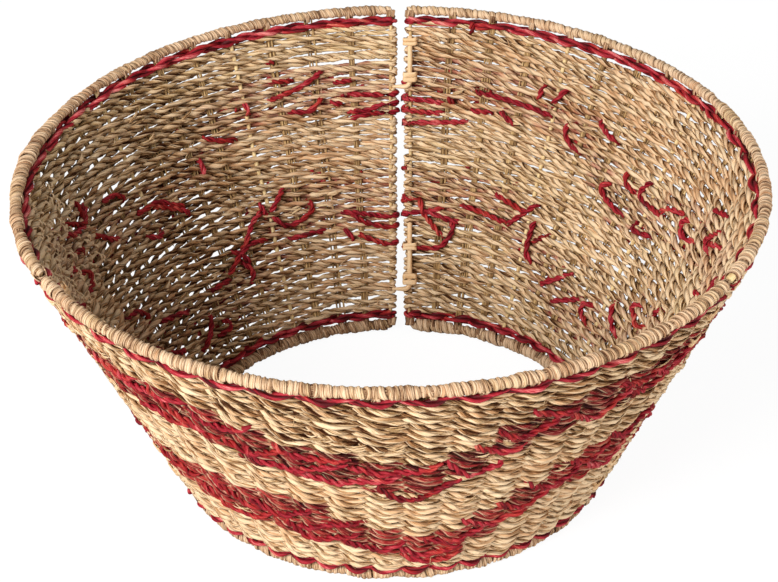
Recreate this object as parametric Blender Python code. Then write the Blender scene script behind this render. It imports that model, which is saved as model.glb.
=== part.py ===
"""Woven seagrass collar for the foot of a Christmas tree.

Three equal curved panels stand in a ring as an open cone, wide end up. Each panel is a ladder of
rattan stakes between two rim rods, with a woven wall, wrapped rims and a red cord beside each rim.
Two bent rattan pins, held by strap loops on one edge, lap over the edge of the next panel.
Metres, +Z up. The origin is the centre of the circle that the collar stands on.
"""
import math

import bmesh
import bpy
from mathutils import Matrix, Vector

# The cone, measured on the centre lines of the rims
TOP_RADIUS = 0.310
BOTTOM_RADIUS = 0.185
RIM_HEIGHT = 0.270

# The panels and their stakes
PANEL_COUNT = 3
BAYS = 16
EDGE_STAKE_SPACING = 0.018
STAKE_DIAMETER = 0.0045

# The rims: a rattan rod wrapped with seagrass, flat where the collar stands
ROD_DIAMETER = 0.0065
WRAP_DIAMETER = 0.013
WRAP_PAST_EDGE_STAKE = 0.007
ROD_PAST_WRAP = 0.0005
FOOT_FLAT = 0.0005

# The woven wall and the red cords
WALL_THICKNESS = 0.010
WALL_TO_RIM = 0.013
CORD_DIAMETER = 0.004
CORD_TO_RIM = 0.0098
CORD_PAST_EDGE_STAKE = 0.004

# The bent pins
PIN_DIAMETER = 0.0046
PIN_TIP_DIAMETER = 0.0024
PIN_BEND_RADIUS = 0.0055
PIN_TO_WALL = 0.0006
PIN_TIP_TO_WALL = 0.0005
PIN_TIP_BEFORE_STAKE = 0.0016

# The strap loops
LOOP_THICKNESS = 0.0016
LOOP_CORNER_RADIUS = 0.0030
LOOP_TO_PIN = 0.0004

# Where the pins sit on the wall: the upper one is set from the top rim, the lower one from the foot
UPPER_PIN_TOP_LOOP_DOWN = 0.029
UPPER_PIN_TOP_LOOP_WIDTH = 0.007
UPPER_PIN_LOOP_SPACING = 0.033
UPPER_PIN_LOW_LOOP_WIDTH = 0.009
UPPER_PIN_ARM_BELOW_LOOP = 0.009
UPPER_PIN_TOP_ABOVE_LOOP = 0.005
LOWER_PIN_LOW_LOOP_UP = 0.0445
LOWER_PIN_LOW_LOOP_WIDTH = 0.010
LOWER_PIN_LOOP_SPACING = 0.031
LOWER_PIN_TOP_LOOP_WIDTH = 0.007
LOWER_PIN_ARM_BELOW_LOOP = 0.0095
LOWER_PIN_TOP_ABOVE_LOOP = 0.0225

# Gaps and tools
FIT = 0.0003
CUT_OVERRUN = 0.005
WELD = 0.00001

# Facets of the round forms
STAKE_SIDES = 6
STAKE_TURN = math.pi / STAKE_SIDES / 2
ROD_RESOLUTION = 1
WRAP_RESOLUTION = 2
CORD_RESOLUTION = 1
PIN_RESOLUTION = 2
PIN_BEND_STEPS = 4
CORNER_STEPS = 2
END_STEPS = 4
SMOOTH_ANGLE = math.radians(50)

# What the driving sizes give
STAKE_RADIUS = STAKE_DIAMETER / 2
WRAP_RADIUS = WRAP_DIAMETER / 2
WALL_HALF = WALL_THICKNESS / 2
PIN_RADIUS = PIN_DIAMETER / 2
PIN_TIP_RADIUS = PIN_TIP_DIAMETER / 2
FOOT_HEIGHT = WRAP_RADIUS - FOOT_FLAT
RIM_LEAN = TOP_RADIUS - BOTTOM_RADIUS
WALL_LENGTH = math.hypot(RIM_LEAN, RIM_HEIGHT)
LEAN_ANGLE = math.atan2(RIM_LEAN, RIM_HEIGHT)
PANEL_ANGLE = 2 * math.pi / PANEL_COUNT
STAKE_OFFSET = EDGE_STAKE_SPACING / 2
PIN_INWARD = WALL_HALF + PIN_TO_WALL + PIN_RADIUS

# The first panel is the front one, and the joints follow it counter-clockwise
FRONT_START = math.radians(210)
PANEL_NAMES = ("front", "right_back", "left_back")

SEAGRASS = (0.61, 0.44, 0.24)
WRAP_STRAW = (0.68, 0.49, 0.28)
RED = (0.38, 0.012, 0.03)
RATTAN = (0.83, 0.60, 0.34)
STAKE_RATTAN = (0.74, 0.52, 0.27)


def clear_scene():
    for scene_object in list(bpy.data.objects):
        bpy.data.objects.remove(scene_object, do_unlink=True)


def make_collection(name):
    collection = bpy.data.collections.new(name)
    bpy.context.scene.collection.children.link(collection)
    return collection


def make_material(name, colour, roughness):
    material = bpy.data.materials.new(name)
    material.use_nodes = True
    shader = material.node_tree.nodes["Principled BSDF"]
    shader.inputs["Base Color"].default_value = (*colour, 1)
    shader.inputs["Roughness"].default_value = roughness
    shader.inputs["Metallic"].default_value = 0
    return material


def lean_frame(azimuth):
    """Frame on the foot circle at an azimuth: X runs clockwise, Y outward, Z up along the wall."""
    outward = Vector((math.cos(azimuth), math.sin(azimuth), 0))
    clockwise = Vector((math.sin(azimuth), -math.cos(azimuth), 0))
    upright = Vector((0, 0, 1))
    along = outward * math.sin(LEAN_ANGLE) + upright * math.cos(LEAN_ANGLE)
    normal = outward * math.cos(LEAN_ANGLE) - upright * math.sin(LEAN_ANGLE)
    frame = Matrix((clockwise, normal, along)).transposed().to_4x4()
    frame.translation = outward * BOTTOM_RADIUS + upright * FOOT_HEIGHT
    return frame


def wall_normal(azimuth):
    return lean_frame(azimuth).to_3x3() @ Vector((0, 1, 0))


def rim_angle(start, radius, share, past_stake=0):
    """Azimuth of a place on a rim: share 0 and 1 are the panel's two edge stakes."""
    inset = math.asin((STAKE_OFFSET - past_stake) / radius)
    return start + inset + (PANEL_ANGLE - 2 * inset) * share


def rim_point(start, radius, height, share, past_stake=0):
    azimuth = rim_angle(start, radius, share, past_stake)
    return Vector((radius * math.cos(azimuth), radius * math.sin(azimuth), height))


def wall_point(start, share, rise, outward=0):
    """Place on a stake line: share runs across the panel, rise is the distance up the wall."""
    low = rim_point(start, BOTTOM_RADIUS, FOOT_HEIGHT, share)
    high = rim_point(start, TOP_RADIUS, FOOT_HEIGHT + RIM_HEIGHT, share)
    azimuth = rim_angle(start, BOTTOM_RADIUS, share)
    return low.lerp(high, rise / WALL_LENGTH) + wall_normal(azimuth) * outward


def rim_arc(start, radius, height, past_stake):
    """Centre line of a rim, with a point at each stake and past both edge stakes."""
    points = [rim_point(start, radius, height, 0, past_stake)]
    points += [rim_point(start, radius, height, bay / BAYS) for bay in range(BAYS + 1)]
    points.append(rim_point(start, radius, height, 1, past_stake))
    return points


def finish_object(new_object, collection, material):
    collection.objects.link(new_object)
    new_object.data.materials.append(material)
    return new_object


def make_cutter(cutter, collection):
    collection.objects.link(cutter)
    cutter.hide_render = True
    cutter.display_type = "WIRE"
    return cutter


def tube_curve(name, centre_line, radii, resolution, twist):
    """Curve object with a round section and filled ends along a list of points."""
    curve = bpy.data.curves.new(name, "CURVE")
    curve.dimensions = "3D"
    curve.twist_mode = twist
    curve.bevel_depth = max(radii)
    curve.bevel_resolution = resolution
    curve.use_fill_caps = True
    spline = curve.splines.new("POLY")
    spline.points.add(len(centre_line) - 1)
    for point, place, radius in zip(spline.points, centre_line, radii):
        point.co = (*place, 1)
        point.radius = radius / max(radii)
    return bpy.data.objects.new(name, curve)


def tube_mesh(name, centre_lines, radius, resolution):
    """One mesh of closed tubes along level arcs, made from curves."""
    merged = bmesh.new()
    for centre_line in centre_lines:
        radii = [radius] * len(centre_line)
        source = tube_curve(name, centre_line, radii, resolution, "Z_UP")
        bpy.context.scene.collection.objects.link(source)
        graph = bpy.context.evaluated_depsgraph_get()
        mesh = bpy.data.meshes.new_from_object(source.evaluated_get(graph))
        merged.from_mesh(mesh)
        curve = source.data
        bpy.data.objects.remove(source, do_unlink=True)
        bpy.data.curves.remove(curve)
        bpy.data.meshes.remove(mesh)
    bmesh.ops.remove_doubles(merged, verts=merged.verts, dist=WELD)
    bmesh.ops.recalc_face_normals(merged, faces=merged.faces)
    return mesh_object(name, merged)


def mesh_object(name, form):
    mesh = bpy.data.meshes.new(name)
    form.to_mesh(mesh)
    form.free()
    return bpy.data.objects.new(name, mesh)


def smooth(round_object):
    round_object.data.shade_smooth()
    round_object.data.set_sharp_from_angle(angle=SMOOTH_ANGLE)


def add_stick(form, low, high, outward, radius):
    """Add a closed round stick to a mesh, turned so that no corner of it faces outward."""
    axis = high - low
    across = outward.cross(axis).normalized()
    facing = axis.cross(across).normalized()
    turn = Matrix((across, facing, axis.normalized())).transposed().to_4x4()
    place = Matrix.Translation((low + high) / 2) @ turn @ Matrix.Rotation(STAKE_TURN, 4, "Z")
    bmesh.ops.create_cone(form, cap_ends=True, segments=STAKE_SIDES, radius1=radius, radius2=radius,
                          depth=axis.length, matrix=place)


def sticks(name, start, shares, low_rise, high_rise, radius):
    """One mesh of sticks along the stake lines at the given shares across a panel."""
    form = bmesh.new()
    for share in shares:
        low = wall_point(start, share, low_rise)
        high = wall_point(start, share, high_rise)
        outward = wall_normal(rim_angle(start, BOTTOM_RADIUS, share))
        add_stick(form, low, high, outward, radius)
    return mesh_object(name, form)


def boolean(target, operand, operation):
    modifier = target.modifiers.new(operand.name, "BOOLEAN")
    modifier.operation = operation
    modifier.solver = "EXACT"
    modifier.object = operand


def inner_shares():
    return [bay / BAYS for bay in range(1, BAYS)]


def rim_arcs(start, past_stake):
    """Centre lines of the bottom and the top rim."""
    low = rim_arc(start, BOTTOM_RADIUS, FOOT_HEIGHT, past_stake)
    high = rim_arc(start, TOP_RADIUS, FOOT_HEIGHT + RIM_HEIGHT, past_stake)
    return low, high


def add_frame(panel, start, parts, cutters):
    """Two rim rods joined by the inner stakes, whose ends are let into the rods."""
    rod_end = WRAP_PAST_EDGE_STAKE + ROD_PAST_WRAP
    rods = rim_arcs(start, rod_end)
    frame = tube_mesh(f"{panel}_frame", rods, ROD_DIAMETER / 2, ROD_RESOLUTION)
    finish_object(frame, parts, make_material(f"{panel}_frame_rattan", STAKE_RATTAN, 0.55))
    stakes = sticks(f"{panel}_stakes", start, inner_shares(), 0, WALL_LENGTH, STAKE_RADIUS)
    make_cutter(stakes, cutters)
    boolean(frame, stakes, "UNION")
    smooth(frame)
    return [frame]


def add_rim_wraps(panel, start, channels, parts, cutters):
    """Seagrass wrap of both rims: a sleeve on the rod, open at its ends and where stakes enter."""
    bores = rim_arcs(start, WRAP_PAST_EDGE_STAKE + CUT_OVERRUN)
    sleeves = rim_arcs(start, WRAP_PAST_EDGE_STAKE)
    wraps = []
    for side, sleeve, bore in zip(("bottom", "top"), sleeves, bores):
        wrap = tube_mesh(f"{panel}_{side}_rim_wrap", [sleeve], WRAP_RADIUS, WRAP_RESOLUTION)
        finish_object(wrap, parts, make_material(f"{panel}_{side}_wrap_seagrass", WRAP_STRAW, 0.8))
        bore_cutter = tube_mesh(f"{panel}_{side}_bore", [bore], ROD_DIAMETER / 2 + FIT, ROD_RESOLUTION)
        make_cutter(bore_cutter, cutters)
        boolean(wrap, bore_cutter, "DIFFERENCE")
        boolean(wrap, channels, "DIFFERENCE")
        smooth(wrap)
        wraps.append(wrap)
    boolean(wraps[0], add_ground_cutter(panel, cutters), "DIFFERENCE")
    return wraps


def add_ground_cutter(panel, cutters):
    """Block below the ground that trims the flat foot of the bottom rim."""
    form = bmesh.new()
    width = 2 * (BOTTOM_RADIUS + WRAP_DIAMETER)
    depth = WRAP_DIAMETER
    place = Matrix.Translation((0, 0, -depth / 2)) @ Matrix.Diagonal((width, width, depth, 1))
    bmesh.ops.create_cube(form, size=1, matrix=place)
    return make_cutter(mesh_object(f"{panel}_ground", form), cutters)


def wall_section(start, rise):
    """Outline of the wall at one height: outer arc, round end, inner arc, round end."""
    shares = [bay / BAYS for bay in range(BAYS + 1)]
    outer = [wall_point(start, share, rise, WALL_HALF) for share in shares]
    inner = [wall_point(start, share, rise, -WALL_HALF) for share in shares]
    ends = []
    for share, direction in ((0, -1), (1, 1)):
        normal = wall_normal(rim_angle(start, BOTTOM_RADIUS, share))
        centre = wall_point(start, share, rise)
        across = Vector((0, 0, direction)).cross(normal).normalized()
        arc = []
        for step in range(1, END_STEPS):
            turn = math.pi * step / END_STEPS
            arc.append(centre + (normal * math.cos(turn) + across * math.sin(turn)) * WALL_HALF)
        ends.append(arc)
    return outer, inner, ends


def add_wall(panel, start, channels, slots, parts, cutters):
    """The woven wall: a loft between its lower and upper outlines, round at both upright edges."""
    form = bmesh.new()
    rings = []
    for rise in (WALL_TO_RIM, WALL_LENGTH - WALL_TO_RIM):
        outer, inner, (first_end, last_end) = wall_section(start, rise)
        loop = outer + last_end + inner[::-1] + first_end[::-1]
        rings.append([form.verts.new(point) for point in loop])
    count = len(rings[0])
    for index in range(count):
        following = (index + 1) % count
        form.faces.new((rings[0][index], rings[0][following], rings[1][following], rings[1][index]))
    last_inner = 2 * BAYS + END_STEPS
    for ring in rings:
        for bay in range(BAYS):
            form.faces.new((ring[bay], ring[bay + 1], ring[last_inner - bay - 1],
                            ring[last_inner - bay]))
        form.faces.new(ring[BAYS:BAYS + END_STEPS + 1])
        form.faces.new(ring[last_inner:] + ring[:1])
    bmesh.ops.recalc_face_normals(form, faces=form.faces)
    wall = mesh_object(f"{panel}_woven_wall", form)
    finish_object(wall, parts, make_material(f"{panel}_wall_seagrass", SEAGRASS, 0.85))
    boolean(wall, channels, "DIFFERENCE")
    edge_channels = sticks(f"{panel}_edge_channels", start, (0, 1), 0, WALL_LENGTH,
                           STAKE_RADIUS + FIT)
    make_cutter(edge_channels, cutters)
    boolean(wall, edge_channels, "DIFFERENCE")
    boolean(wall, slots, "DIFFERENCE")
    smooth(wall)
    return [wall]


def add_edge_stakes(panel, start, parts):
    """The two edge stakes, standing between the wrapped rims inside the wall's round edges."""
    stakes = []
    low_rise = WRAP_RADIUS + FIT
    high_rise = WALL_LENGTH - WRAP_RADIUS - FIT
    for side, share in (("catch_side", 0), ("pin_side", 1)):
        name = f"{panel}_{side}_stake"
        stake = sticks(name, start, (share,), low_rise, high_rise, STAKE_RADIUS)
        finish_object(stake, parts, make_material(f"{name}_rattan", STAKE_RATTAN, 0.55))
        smooth(stake)
        stakes.append(stake)
    return stakes


def cord_sway(radius):
    """How far the cord's centre line swings to each side of the stakes on a ring of this radius."""
    bay_width = radius * PANEL_ANGLE / BAYS
    offset = STAKE_RADIUS + CORD_DIAMETER / 2 + FIT
    return offset / math.cos(math.asin(2 * offset / bay_width))


def add_red_cords(panel, start, parts):
    """A red cord beside each rim, laid in and out between the stakes."""
    cords = []
    places = (("bottom", CORD_TO_RIM, BOTTOM_RADIUS), ("top", WALL_LENGTH - CORD_TO_RIM, TOP_RADIUS))
    for side, rise, radius in places:
        sways = [cord_sway(radius) * (-1) ** bay for bay in range(BAYS + 1)]
        points = [wall_point(start, bay / BAYS, rise, sway) for bay, sway in enumerate(sways)]
        first_run = points[0] - wall_point(start, 1 / BAYS, rise, sways[0])
        last_run = points[-1] - wall_point(start, 1 - 1 / BAYS, rise, sways[-1])
        first_end = points[0] + first_run.normalized() * CORD_PAST_EDGE_STAKE
        last_end = points[-1] + last_run.normalized() * CORD_PAST_EDGE_STAKE
        points = [first_end, *points, last_end]
        radii = [CORD_DIAMETER / 2] * len(points)
        cord = tube_curve(f"{panel}_{side}_red_cord", points, radii, CORD_RESOLUTION, "Z_UP")
        finish_object(cord, parts, make_material(f"{panel}_{side}_cord_red", RED, 0.5))
        cords.append(cord)
    return cords


def pin_layout():
    """Each pin's name, the rise and width of its two loops, and the rise of its arm and its top."""
    upper_top_rise = WALL_LENGTH - UPPER_PIN_TOP_LOOP_DOWN
    upper_low_rise = upper_top_rise - UPPER_PIN_LOOP_SPACING
    lower_low_rise = LOWER_PIN_LOW_LOOP_UP
    lower_top_rise = lower_low_rise + LOWER_PIN_LOOP_SPACING
    upper_loops = (upper_top_rise, UPPER_PIN_TOP_LOOP_WIDTH), (upper_low_rise, UPPER_PIN_LOW_LOOP_WIDTH)
    lower_loops = (lower_top_rise, LOWER_PIN_TOP_LOOP_WIDTH), (lower_low_rise, LOWER_PIN_LOW_LOOP_WIDTH)
    return (
        ("upper_pin", upper_loops, upper_low_rise - UPPER_PIN_ARM_BELOW_LOOP,
         upper_top_rise + UPPER_PIN_TOP_ABOVE_LOOP),
        ("lower_pin", lower_loops, lower_low_rise - LOWER_PIN_ARM_BELOW_LOOP,
         lower_top_rise + LOWER_PIN_TOP_ABOVE_LOOP),
    )


def add_pins(panel, joint, parts):
    """Bent rattan pins: an upright rod, and an arm that tapers over the next panel's edge."""
    pins = []
    for name, _, arm_rise, top_rise in pin_layout():
        points = [Vector((0, 0, top_rise - arm_rise))]
        radii = [PIN_RADIUS]
        for step in range(PIN_BEND_STEPS + 1):
            turn = math.pi / 2 * step / PIN_BEND_STEPS
            points.append(Vector((-PIN_BEND_RADIUS * (1 - math.cos(turn)), 0,
                                  PIN_BEND_RADIUS * (1 - math.sin(turn)))))
            radii.append(PIN_RADIUS)
        tip_inward = WALL_HALF + PIN_TIP_TO_WALL + PIN_TIP_RADIUS
        tip_x = PIN_TIP_BEFORE_STAKE - EDGE_STAKE_SPACING
        points.append(Vector((tip_x, PIN_INWARD - tip_inward, 0)))
        radii.append(PIN_TIP_RADIUS)
        pin = tube_curve(f"{panel}_{name}", points, radii, PIN_RESOLUTION, "MINIMUM")
        finish_object(pin, parts, make_material(f"{panel}_{name}_rattan", RATTAN, 0.45))
        pin.matrix_world = joint @ Matrix.Translation((STAKE_OFFSET, -PIN_INWARD, arm_rise))
        pins.append(pin)
    return pins


def rounded_outline(low, high, radius):
    """Corner points of a rectangle with round corners, counter-clockwise."""
    points = []
    corners = ((high[0] - radius, high[1] - radius, 0), (low[0] + radius, high[1] - radius, 1),
               (low[0] + radius, low[1] + radius, 2), (high[0] - radius, low[1] + radius, 3))
    for centre_x, centre_y, quarter in corners:
        for step in range(CORNER_STEPS + 1):
            turn = math.pi / 2 * (quarter + step / CORNER_STEPS)
            points.append((centre_x + radius * math.cos(turn), centre_y + radius * math.sin(turn)))
    return points


def loop_opening():
    """Low and high corners of a loop's inside, measured from the edge stake it goes round."""
    half = WALL_HALF + FIT
    return (-half, -PIN_INWARD - PIN_RADIUS - LOOP_TO_PIN), (half, half)


def add_loops(panel, joint, parts):
    """Closed strap loops round the pin and the wall's edge."""
    loops = []
    low, high = loop_opening()
    inside = rounded_outline(low, high, LOOP_CORNER_RADIUS - LOOP_THICKNESS)
    low_outside = (low[0] - LOOP_THICKNESS, low[1] - LOOP_THICKNESS)
    high_outside = (high[0] + LOOP_THICKNESS, high[1] + LOOP_THICKNESS)
    outside = rounded_outline(low_outside, high_outside, LOOP_CORNER_RADIUS)
    for pin_name, pin_loops, _, _ in pin_layout():
        for level, (rise, width) in zip(("top", "low"), pin_loops):
            name = f"{panel}_{pin_name}_{level}_loop"
            curve = bpy.data.curves.new(name, "CURVE")
            curve.dimensions = "2D"
            curve.fill_mode = "BOTH"
            curve.extrude = width / 2
            for outline in (outside, inside):
                spline = curve.splines.new("POLY")
                spline.points.add(len(outline) - 1)
                for point, place in zip(spline.points, outline):
                    point.co = (*place, 0, 1)
                spline.use_cyclic_u = True
            loop = bpy.data.objects.new(name, curve)
            finish_object(loop, parts, make_material(f"{name}_rattan", RATTAN, 0.5))
            loop.matrix_world = joint @ Matrix.Translation((STAKE_OFFSET, 0, rise))
            loops.append(loop)
    return loops


def add_loop_slots(panel, joint, cutters):
    """Slots through the wall beside the edge stake, where the strap loops pass."""
    form = bmesh.new()
    inner_x = loop_opening()[1][0]
    slot_width = LOOP_THICKNESS + 2 * FIT
    slot_x = STAKE_OFFSET + inner_x + LOOP_THICKNESS / 2
    for _, pin_loops, _, _ in pin_layout():
        for rise, width in pin_loops:
            size = Matrix.Diagonal((slot_width, WALL_THICKNESS + 2 * CUT_OVERRUN, width + 2 * FIT, 1))
            place = joint @ Matrix.Translation((slot_x, 0, rise)) @ size
            bmesh.ops.create_cube(form, size=1, matrix=place)
    return make_cutter(mesh_object(f"{panel}_loop_slots", form), cutters)


def hang_on(pieces, name, place, parts):
    """Parent pieces to an empty that stands on their joint's axis, without moving them."""
    pivot = bpy.data.objects.new(name, None)
    parts.objects.link(pivot)
    pivot.matrix_world = place
    bpy.context.view_layer.update()
    for piece in pieces:
        piece.parent = pivot
        piece.matrix_parent_inverse = pivot.matrix_world.inverted()


def add_panel(index, parts, cutters):
    panel = PANEL_NAMES[index]
    start = FRONT_START + PANEL_ANGLE * index
    pin_joint = lean_frame(start + PANEL_ANGLE)
    channels = sticks(f"{panel}_stake_channels", start, inner_shares(), 0, WALL_LENGTH,
                      STAKE_RADIUS + FIT)
    make_cutter(channels, cutters)
    slots = add_loop_slots(panel, pin_joint, cutters)
    pieces = add_frame(panel, start, parts, cutters)
    pieces += add_rim_wraps(panel, start, channels, parts, cutters)
    pieces += add_wall(panel, start, channels, slots, parts, cutters)
    pieces += add_edge_stakes(panel, start, parts)
    pieces += add_red_cords(panel, start, parts)
    pieces += add_loops(panel, pin_joint, parts)
    pieces += add_pins(panel, pin_joint, parts)
    return pieces


def catch_stake_axis(azimuth):
    return lean_frame(azimuth) @ Matrix.Translation((-STAKE_OFFSET, 0, 0))


def main():
    clear_scene()
    parts = make_collection("woven_tree_collar")
    cutters = make_collection("cutters")
    panels = [add_panel(index, parts, cutters) for index in range(PANEL_COUNT)]
    right_joint = FRONT_START + PANEL_ANGLE
    hang_on(panels[1], "right_back_swing_axis", catch_stake_axis(right_joint), parts)
    hang_on(panels[2], "left_back_swing_axis", catch_stake_axis(FRONT_START), parts)


main()
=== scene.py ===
import math

import bpy
import numpy as np
from mathutils import Matrix, Vector


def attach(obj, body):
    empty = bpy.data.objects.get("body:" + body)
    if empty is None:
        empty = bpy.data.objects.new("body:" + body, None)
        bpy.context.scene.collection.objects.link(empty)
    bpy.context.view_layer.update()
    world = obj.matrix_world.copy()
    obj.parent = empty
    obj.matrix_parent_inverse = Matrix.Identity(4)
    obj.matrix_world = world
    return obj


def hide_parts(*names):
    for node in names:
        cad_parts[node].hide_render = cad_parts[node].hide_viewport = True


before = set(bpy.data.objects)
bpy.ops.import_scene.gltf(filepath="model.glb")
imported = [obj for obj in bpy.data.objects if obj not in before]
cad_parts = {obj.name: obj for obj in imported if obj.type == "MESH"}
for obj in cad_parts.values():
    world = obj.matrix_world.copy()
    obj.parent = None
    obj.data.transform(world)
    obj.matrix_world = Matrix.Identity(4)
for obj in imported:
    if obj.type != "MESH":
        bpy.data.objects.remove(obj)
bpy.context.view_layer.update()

# The cone and its panels, as in the part
TOP_RADIUS = 0.310
BOTTOM_RADIUS = 0.185
RIM_HEIGHT = 0.270
FOOT_HEIGHT = 0.006
STAKE_OFFSET = 0.009
BAYS = 16
PANEL_ANGLE = math.radians(120)
PANEL_STARTS = {"front": 210, "right_back": 330, "left_back": 90}
RIM_LEAN = TOP_RADIUS - BOTTOM_RADIUS
WALL_LENGTH = math.hypot(RIM_LEAN, RIM_HEIGHT)
LEAN_ANGLE = math.atan2(RIM_LEAN, RIM_HEIGHT)

# The weft: one two-ply cord that runs to and fro up the wall
ROWS = 59
FIRST_ROW_RISE = 0.0153
ROW_PITCH = 0.0046
SPLIT_ROW = 33
WEFT_STEP = 0.0023
WEFT_SWING = 0.0037
EDGE_SWING = 0.0034
SWING_AT_TIP = 0.0024
# Section of a folded leaf: a keel on the outside of each ply with a painted highlight on it, and painted
# shade where plies touch
PLY_PROFILE = (1.08, 0.94, 0.94, 1.0, 0.94, 0.94)
PLY_PAINTED_SHADING = (0.10, 0.03, -0.22, -0.40, -0.22, 0.03)
# A painted highlight runs as a pale line along the leaf's edge on one side of each ply, with a line of
# painted shade opposite
PAINTED_LEAF_EDGES = (0, 1, 0, 0, 0, -1)
# How much of the dye comes through to the inside
DYE_INSIDE = 0.30
# Dye of the outer floats in the red bands, and the share of it that the inner floats take
OUTER_DYE = 0.95
INNER_DYE = 0.36
# How far the rows wander up and down
WEFT_LIFT = {"front": 0.00030, "right_back": 0.00050, "left_back": 0.00050}
WEFT_SAG = 0.0008
# How full the cord is at the first edge, near the middle and at the last edge of each panel, and painted
# light and shade that make it paler or darker there and paler towards the bottom
LOOK_SHARES = (0, 0.45, 1)
FULLNESS = {"front": (1.09, 1.09, 1.09), "right_back": (1.42, 1.16, 1.06), "left_back": (1.00, 1.07, 1.40)}
FULLER_ABOVE = {"front": 0.0, "right_back": 0.02, "left_back": 0.04}
PAINTED_LIGHT_BELOW = {"front": 0.22, "right_back": 0.0, "left_back": 0.16}
PAINTED_LIGHT_ACROSS = {"front": (0.12, -0.10, 0.00), "right_back": (0.20, 0.10, 0.05), "left_back": (0.26, -0.10, 0.24)}
# Pale folded turns on the inner face, close together only beside the left joint
KNOTS = {"front": 0, "right_back": 0, "left_back": 230}
# Shade of each panel's rim wrap: the differences between the panels are painted light and shade
RIM_SHADE_WITH_PAINTED_LIGHT = {"front": 0.50, "right_back": 0.57, "left_back": 0.47}
# How many dry ends and splices a panel has
LOOSE_ENDS = 170
SPLICES = 42
# How far the turns of the weft stand out at the edges, and how far where a loop holds them
EDGE_REACH = 0.0040
LOOPED_REACH = 0.0029
# Rows nearer than this to a loop or to a pin's tip keep close to the edge stake
NEAR_PIN = 0.0075
# How far the tucks between those turns go through the wall, and by a pin's tip
TUCK_DEPTH = 0.0031
TUCK_DEPTH_AT_TIP = 0.0022
# Which way is away from the panel at its first and last edge
AWAY = (-1, 1)

# The stakes: a cane at the edges and at every fourth place, and bundles of thin stems between
CANE_RADIUS = 0.0019
EDGE_CANE_RADIUS = 0.0016
STEM_RADIUS = 0.0009
STEM_SPREAD = 0.0050
CANE_EVERY = 4
EDGE_CANE_INSET = 0.0052

# The rims
ROD_RADIUS = 0.00325
ROD_SHORT_OF_END = 0.004
ROD_PAST_OPEN_END = 0.0005
WRAP_THROUGH = 0.0051
WRAP_ALONG = {"top": 0.0043, "bottom": 0.0053}
WRAP_TURN = 0.0052
WRAP_LEAVES = 3
WRAP_LEAF_THICK = 0.0007
WRAP_LEAF_WIDE = 0.00135
# How far each rim goes past its edge stakes: the back joint is drawn apart in the photograph
WRAP_PAST_EDGE = 0.007
WRAP_PAST_BACK_EDGE = {"top": 0.0035, "bottom": 0.0015}
# How uneven the turns of a wrap are, and how strong the painted shade in the grooves between its leaves and
# the painted highlight on them
WRAP_LUMPS = {"top": 1.1, "bottom": 1.7}
WRAP_GROOVE_SHADE = {"front": 0.8, "right_back": 1.2, "left_back": 1.2}
WRAP_STEPS = 16
# A bulge in the wrap of the left rim: azimuth and spread in degrees, and height
BULGE_OF_LEFT_RIM = 174
BULGE_SPREAD = 7
BULGE_HEIGHT = 0.0022
# The one rim end where the cut rod shows; the others are wound shut
OPEN_RIM_END = ("right_back", "top", 0)

# The red cords
RIM_CORD_TO_RIM = {"top": 0.0096, "bottom": 0.0103}
RIM_CORD_SWING = 0.0042
RIM_CORD_LIFT = 0.0017
RIM_CORD_REACH = 0.0036
RIM_CORD_FULLNESS = {"front": 0.92, "right_back": 1.08, "left_back": 1.08}
# Ties from the rim to the red cord: how far short of it they end, and how far off the stake they lie
TIE_SHORT = 0.0035
TIE_OFF_STAKE = 0.0034
TIE_OFF_MORE_AT_RIM = 0.0018
# Height over the wall's middle and scale of the cords over the bands and of the stitches inside
BAND_CORD_HEIGHT = 0.0042
BAND_CORD_SCALE = 1.25
BAND_CORD_LONGER = 0.004
STITCH_HEIGHT = 0.0048
STITCH_SCALE = 1.2
# Their ends go into the weave, or round an edge stake that is near
DIVE_LENGTH = 0.006
DIVE_DEPTH = 0.0012
NEAR_EDGE_SHARE = 0.022
EDGE_TURN_REACH = 0.0058
# How much the routes of the front vary on the other panels, in degrees
ROUTE_JITTER = 1.2

# Two-ply cords: distance of the plies from the middle, their two half sizes, twist length and wobble
CORDS = {
    "weft": (0.00105, 0.00140, 0.00230, 0.033, 1.5),
    "tuck": (0.00105, 0.00140, 0.00230 * 1.12, 0.033, 0.3),
    "rim": (0.00125, 0.00155, 0.00155 * 1.15, 0.046, 0.8),
    "rim_turn": (0.00125, 0.00155, 0.00155 * 1.35, 0.03, 0.4),
    "red": (0.00115, 0.00125, 0.00125 * 1.15, 0.019, 0.8),
}

# The pins and the strap loops, as in the part
PIN_RADIUS = 0.0023
PIN_TIP_RADIUS = 0.0012
PIN_BEND_RADIUS = 0.0055
PIN_INWARD = 0.0079
PIN_TIP_ACROSS = -0.0164
PIN_TIP_INWARD = 0.0012
LOOP_THICKNESS = 0.0016
LOOP_HALF_INSIDE = 0.0053
LOOP_INNER_SIDE = -0.0106
LOOP_CORNER = 0.0022
PINS = {
    "upper_pin": {"top": 0.27353, "arm": 0.22653,
                  "loops": {"top": (0.26853, 0.007), "low": (0.23553, 0.009)}},
    "lower_pin": {"top": 0.098, "arm": 0.035,
                  "loops": {"top": (0.0755, 0.007), "low": (0.0445, 0.010)}},
}

# The two red bands on the outside, as (share across the panel, top rise, bottom rise)
UPPER_BAND = ((0.00, 0.240, 0.188), (0.17, 0.248, 0.198), (0.30, 0.226, 0.174), (0.41, 0.206, 0.162),
              (0.52, 0.184, 0.138), (0.60, 0.200, 0.168), (0.68, 0.246, 0.196), (0.82, 0.254, 0.207),
              (1.00, 0.248, 0.205))
LOWER_BAND = ((0.00, 0.118, 0.070), (0.17, 0.122, 0.067), (0.33, 0.124, 0.062), (0.42, 0.100, 0.052),
              (0.50, 0.078, 0.036), (0.59, 0.070, 0.028), (0.67, 0.102, 0.056), (0.78, 0.142, 0.094),
              (1.00, 0.150, 0.098))

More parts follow.
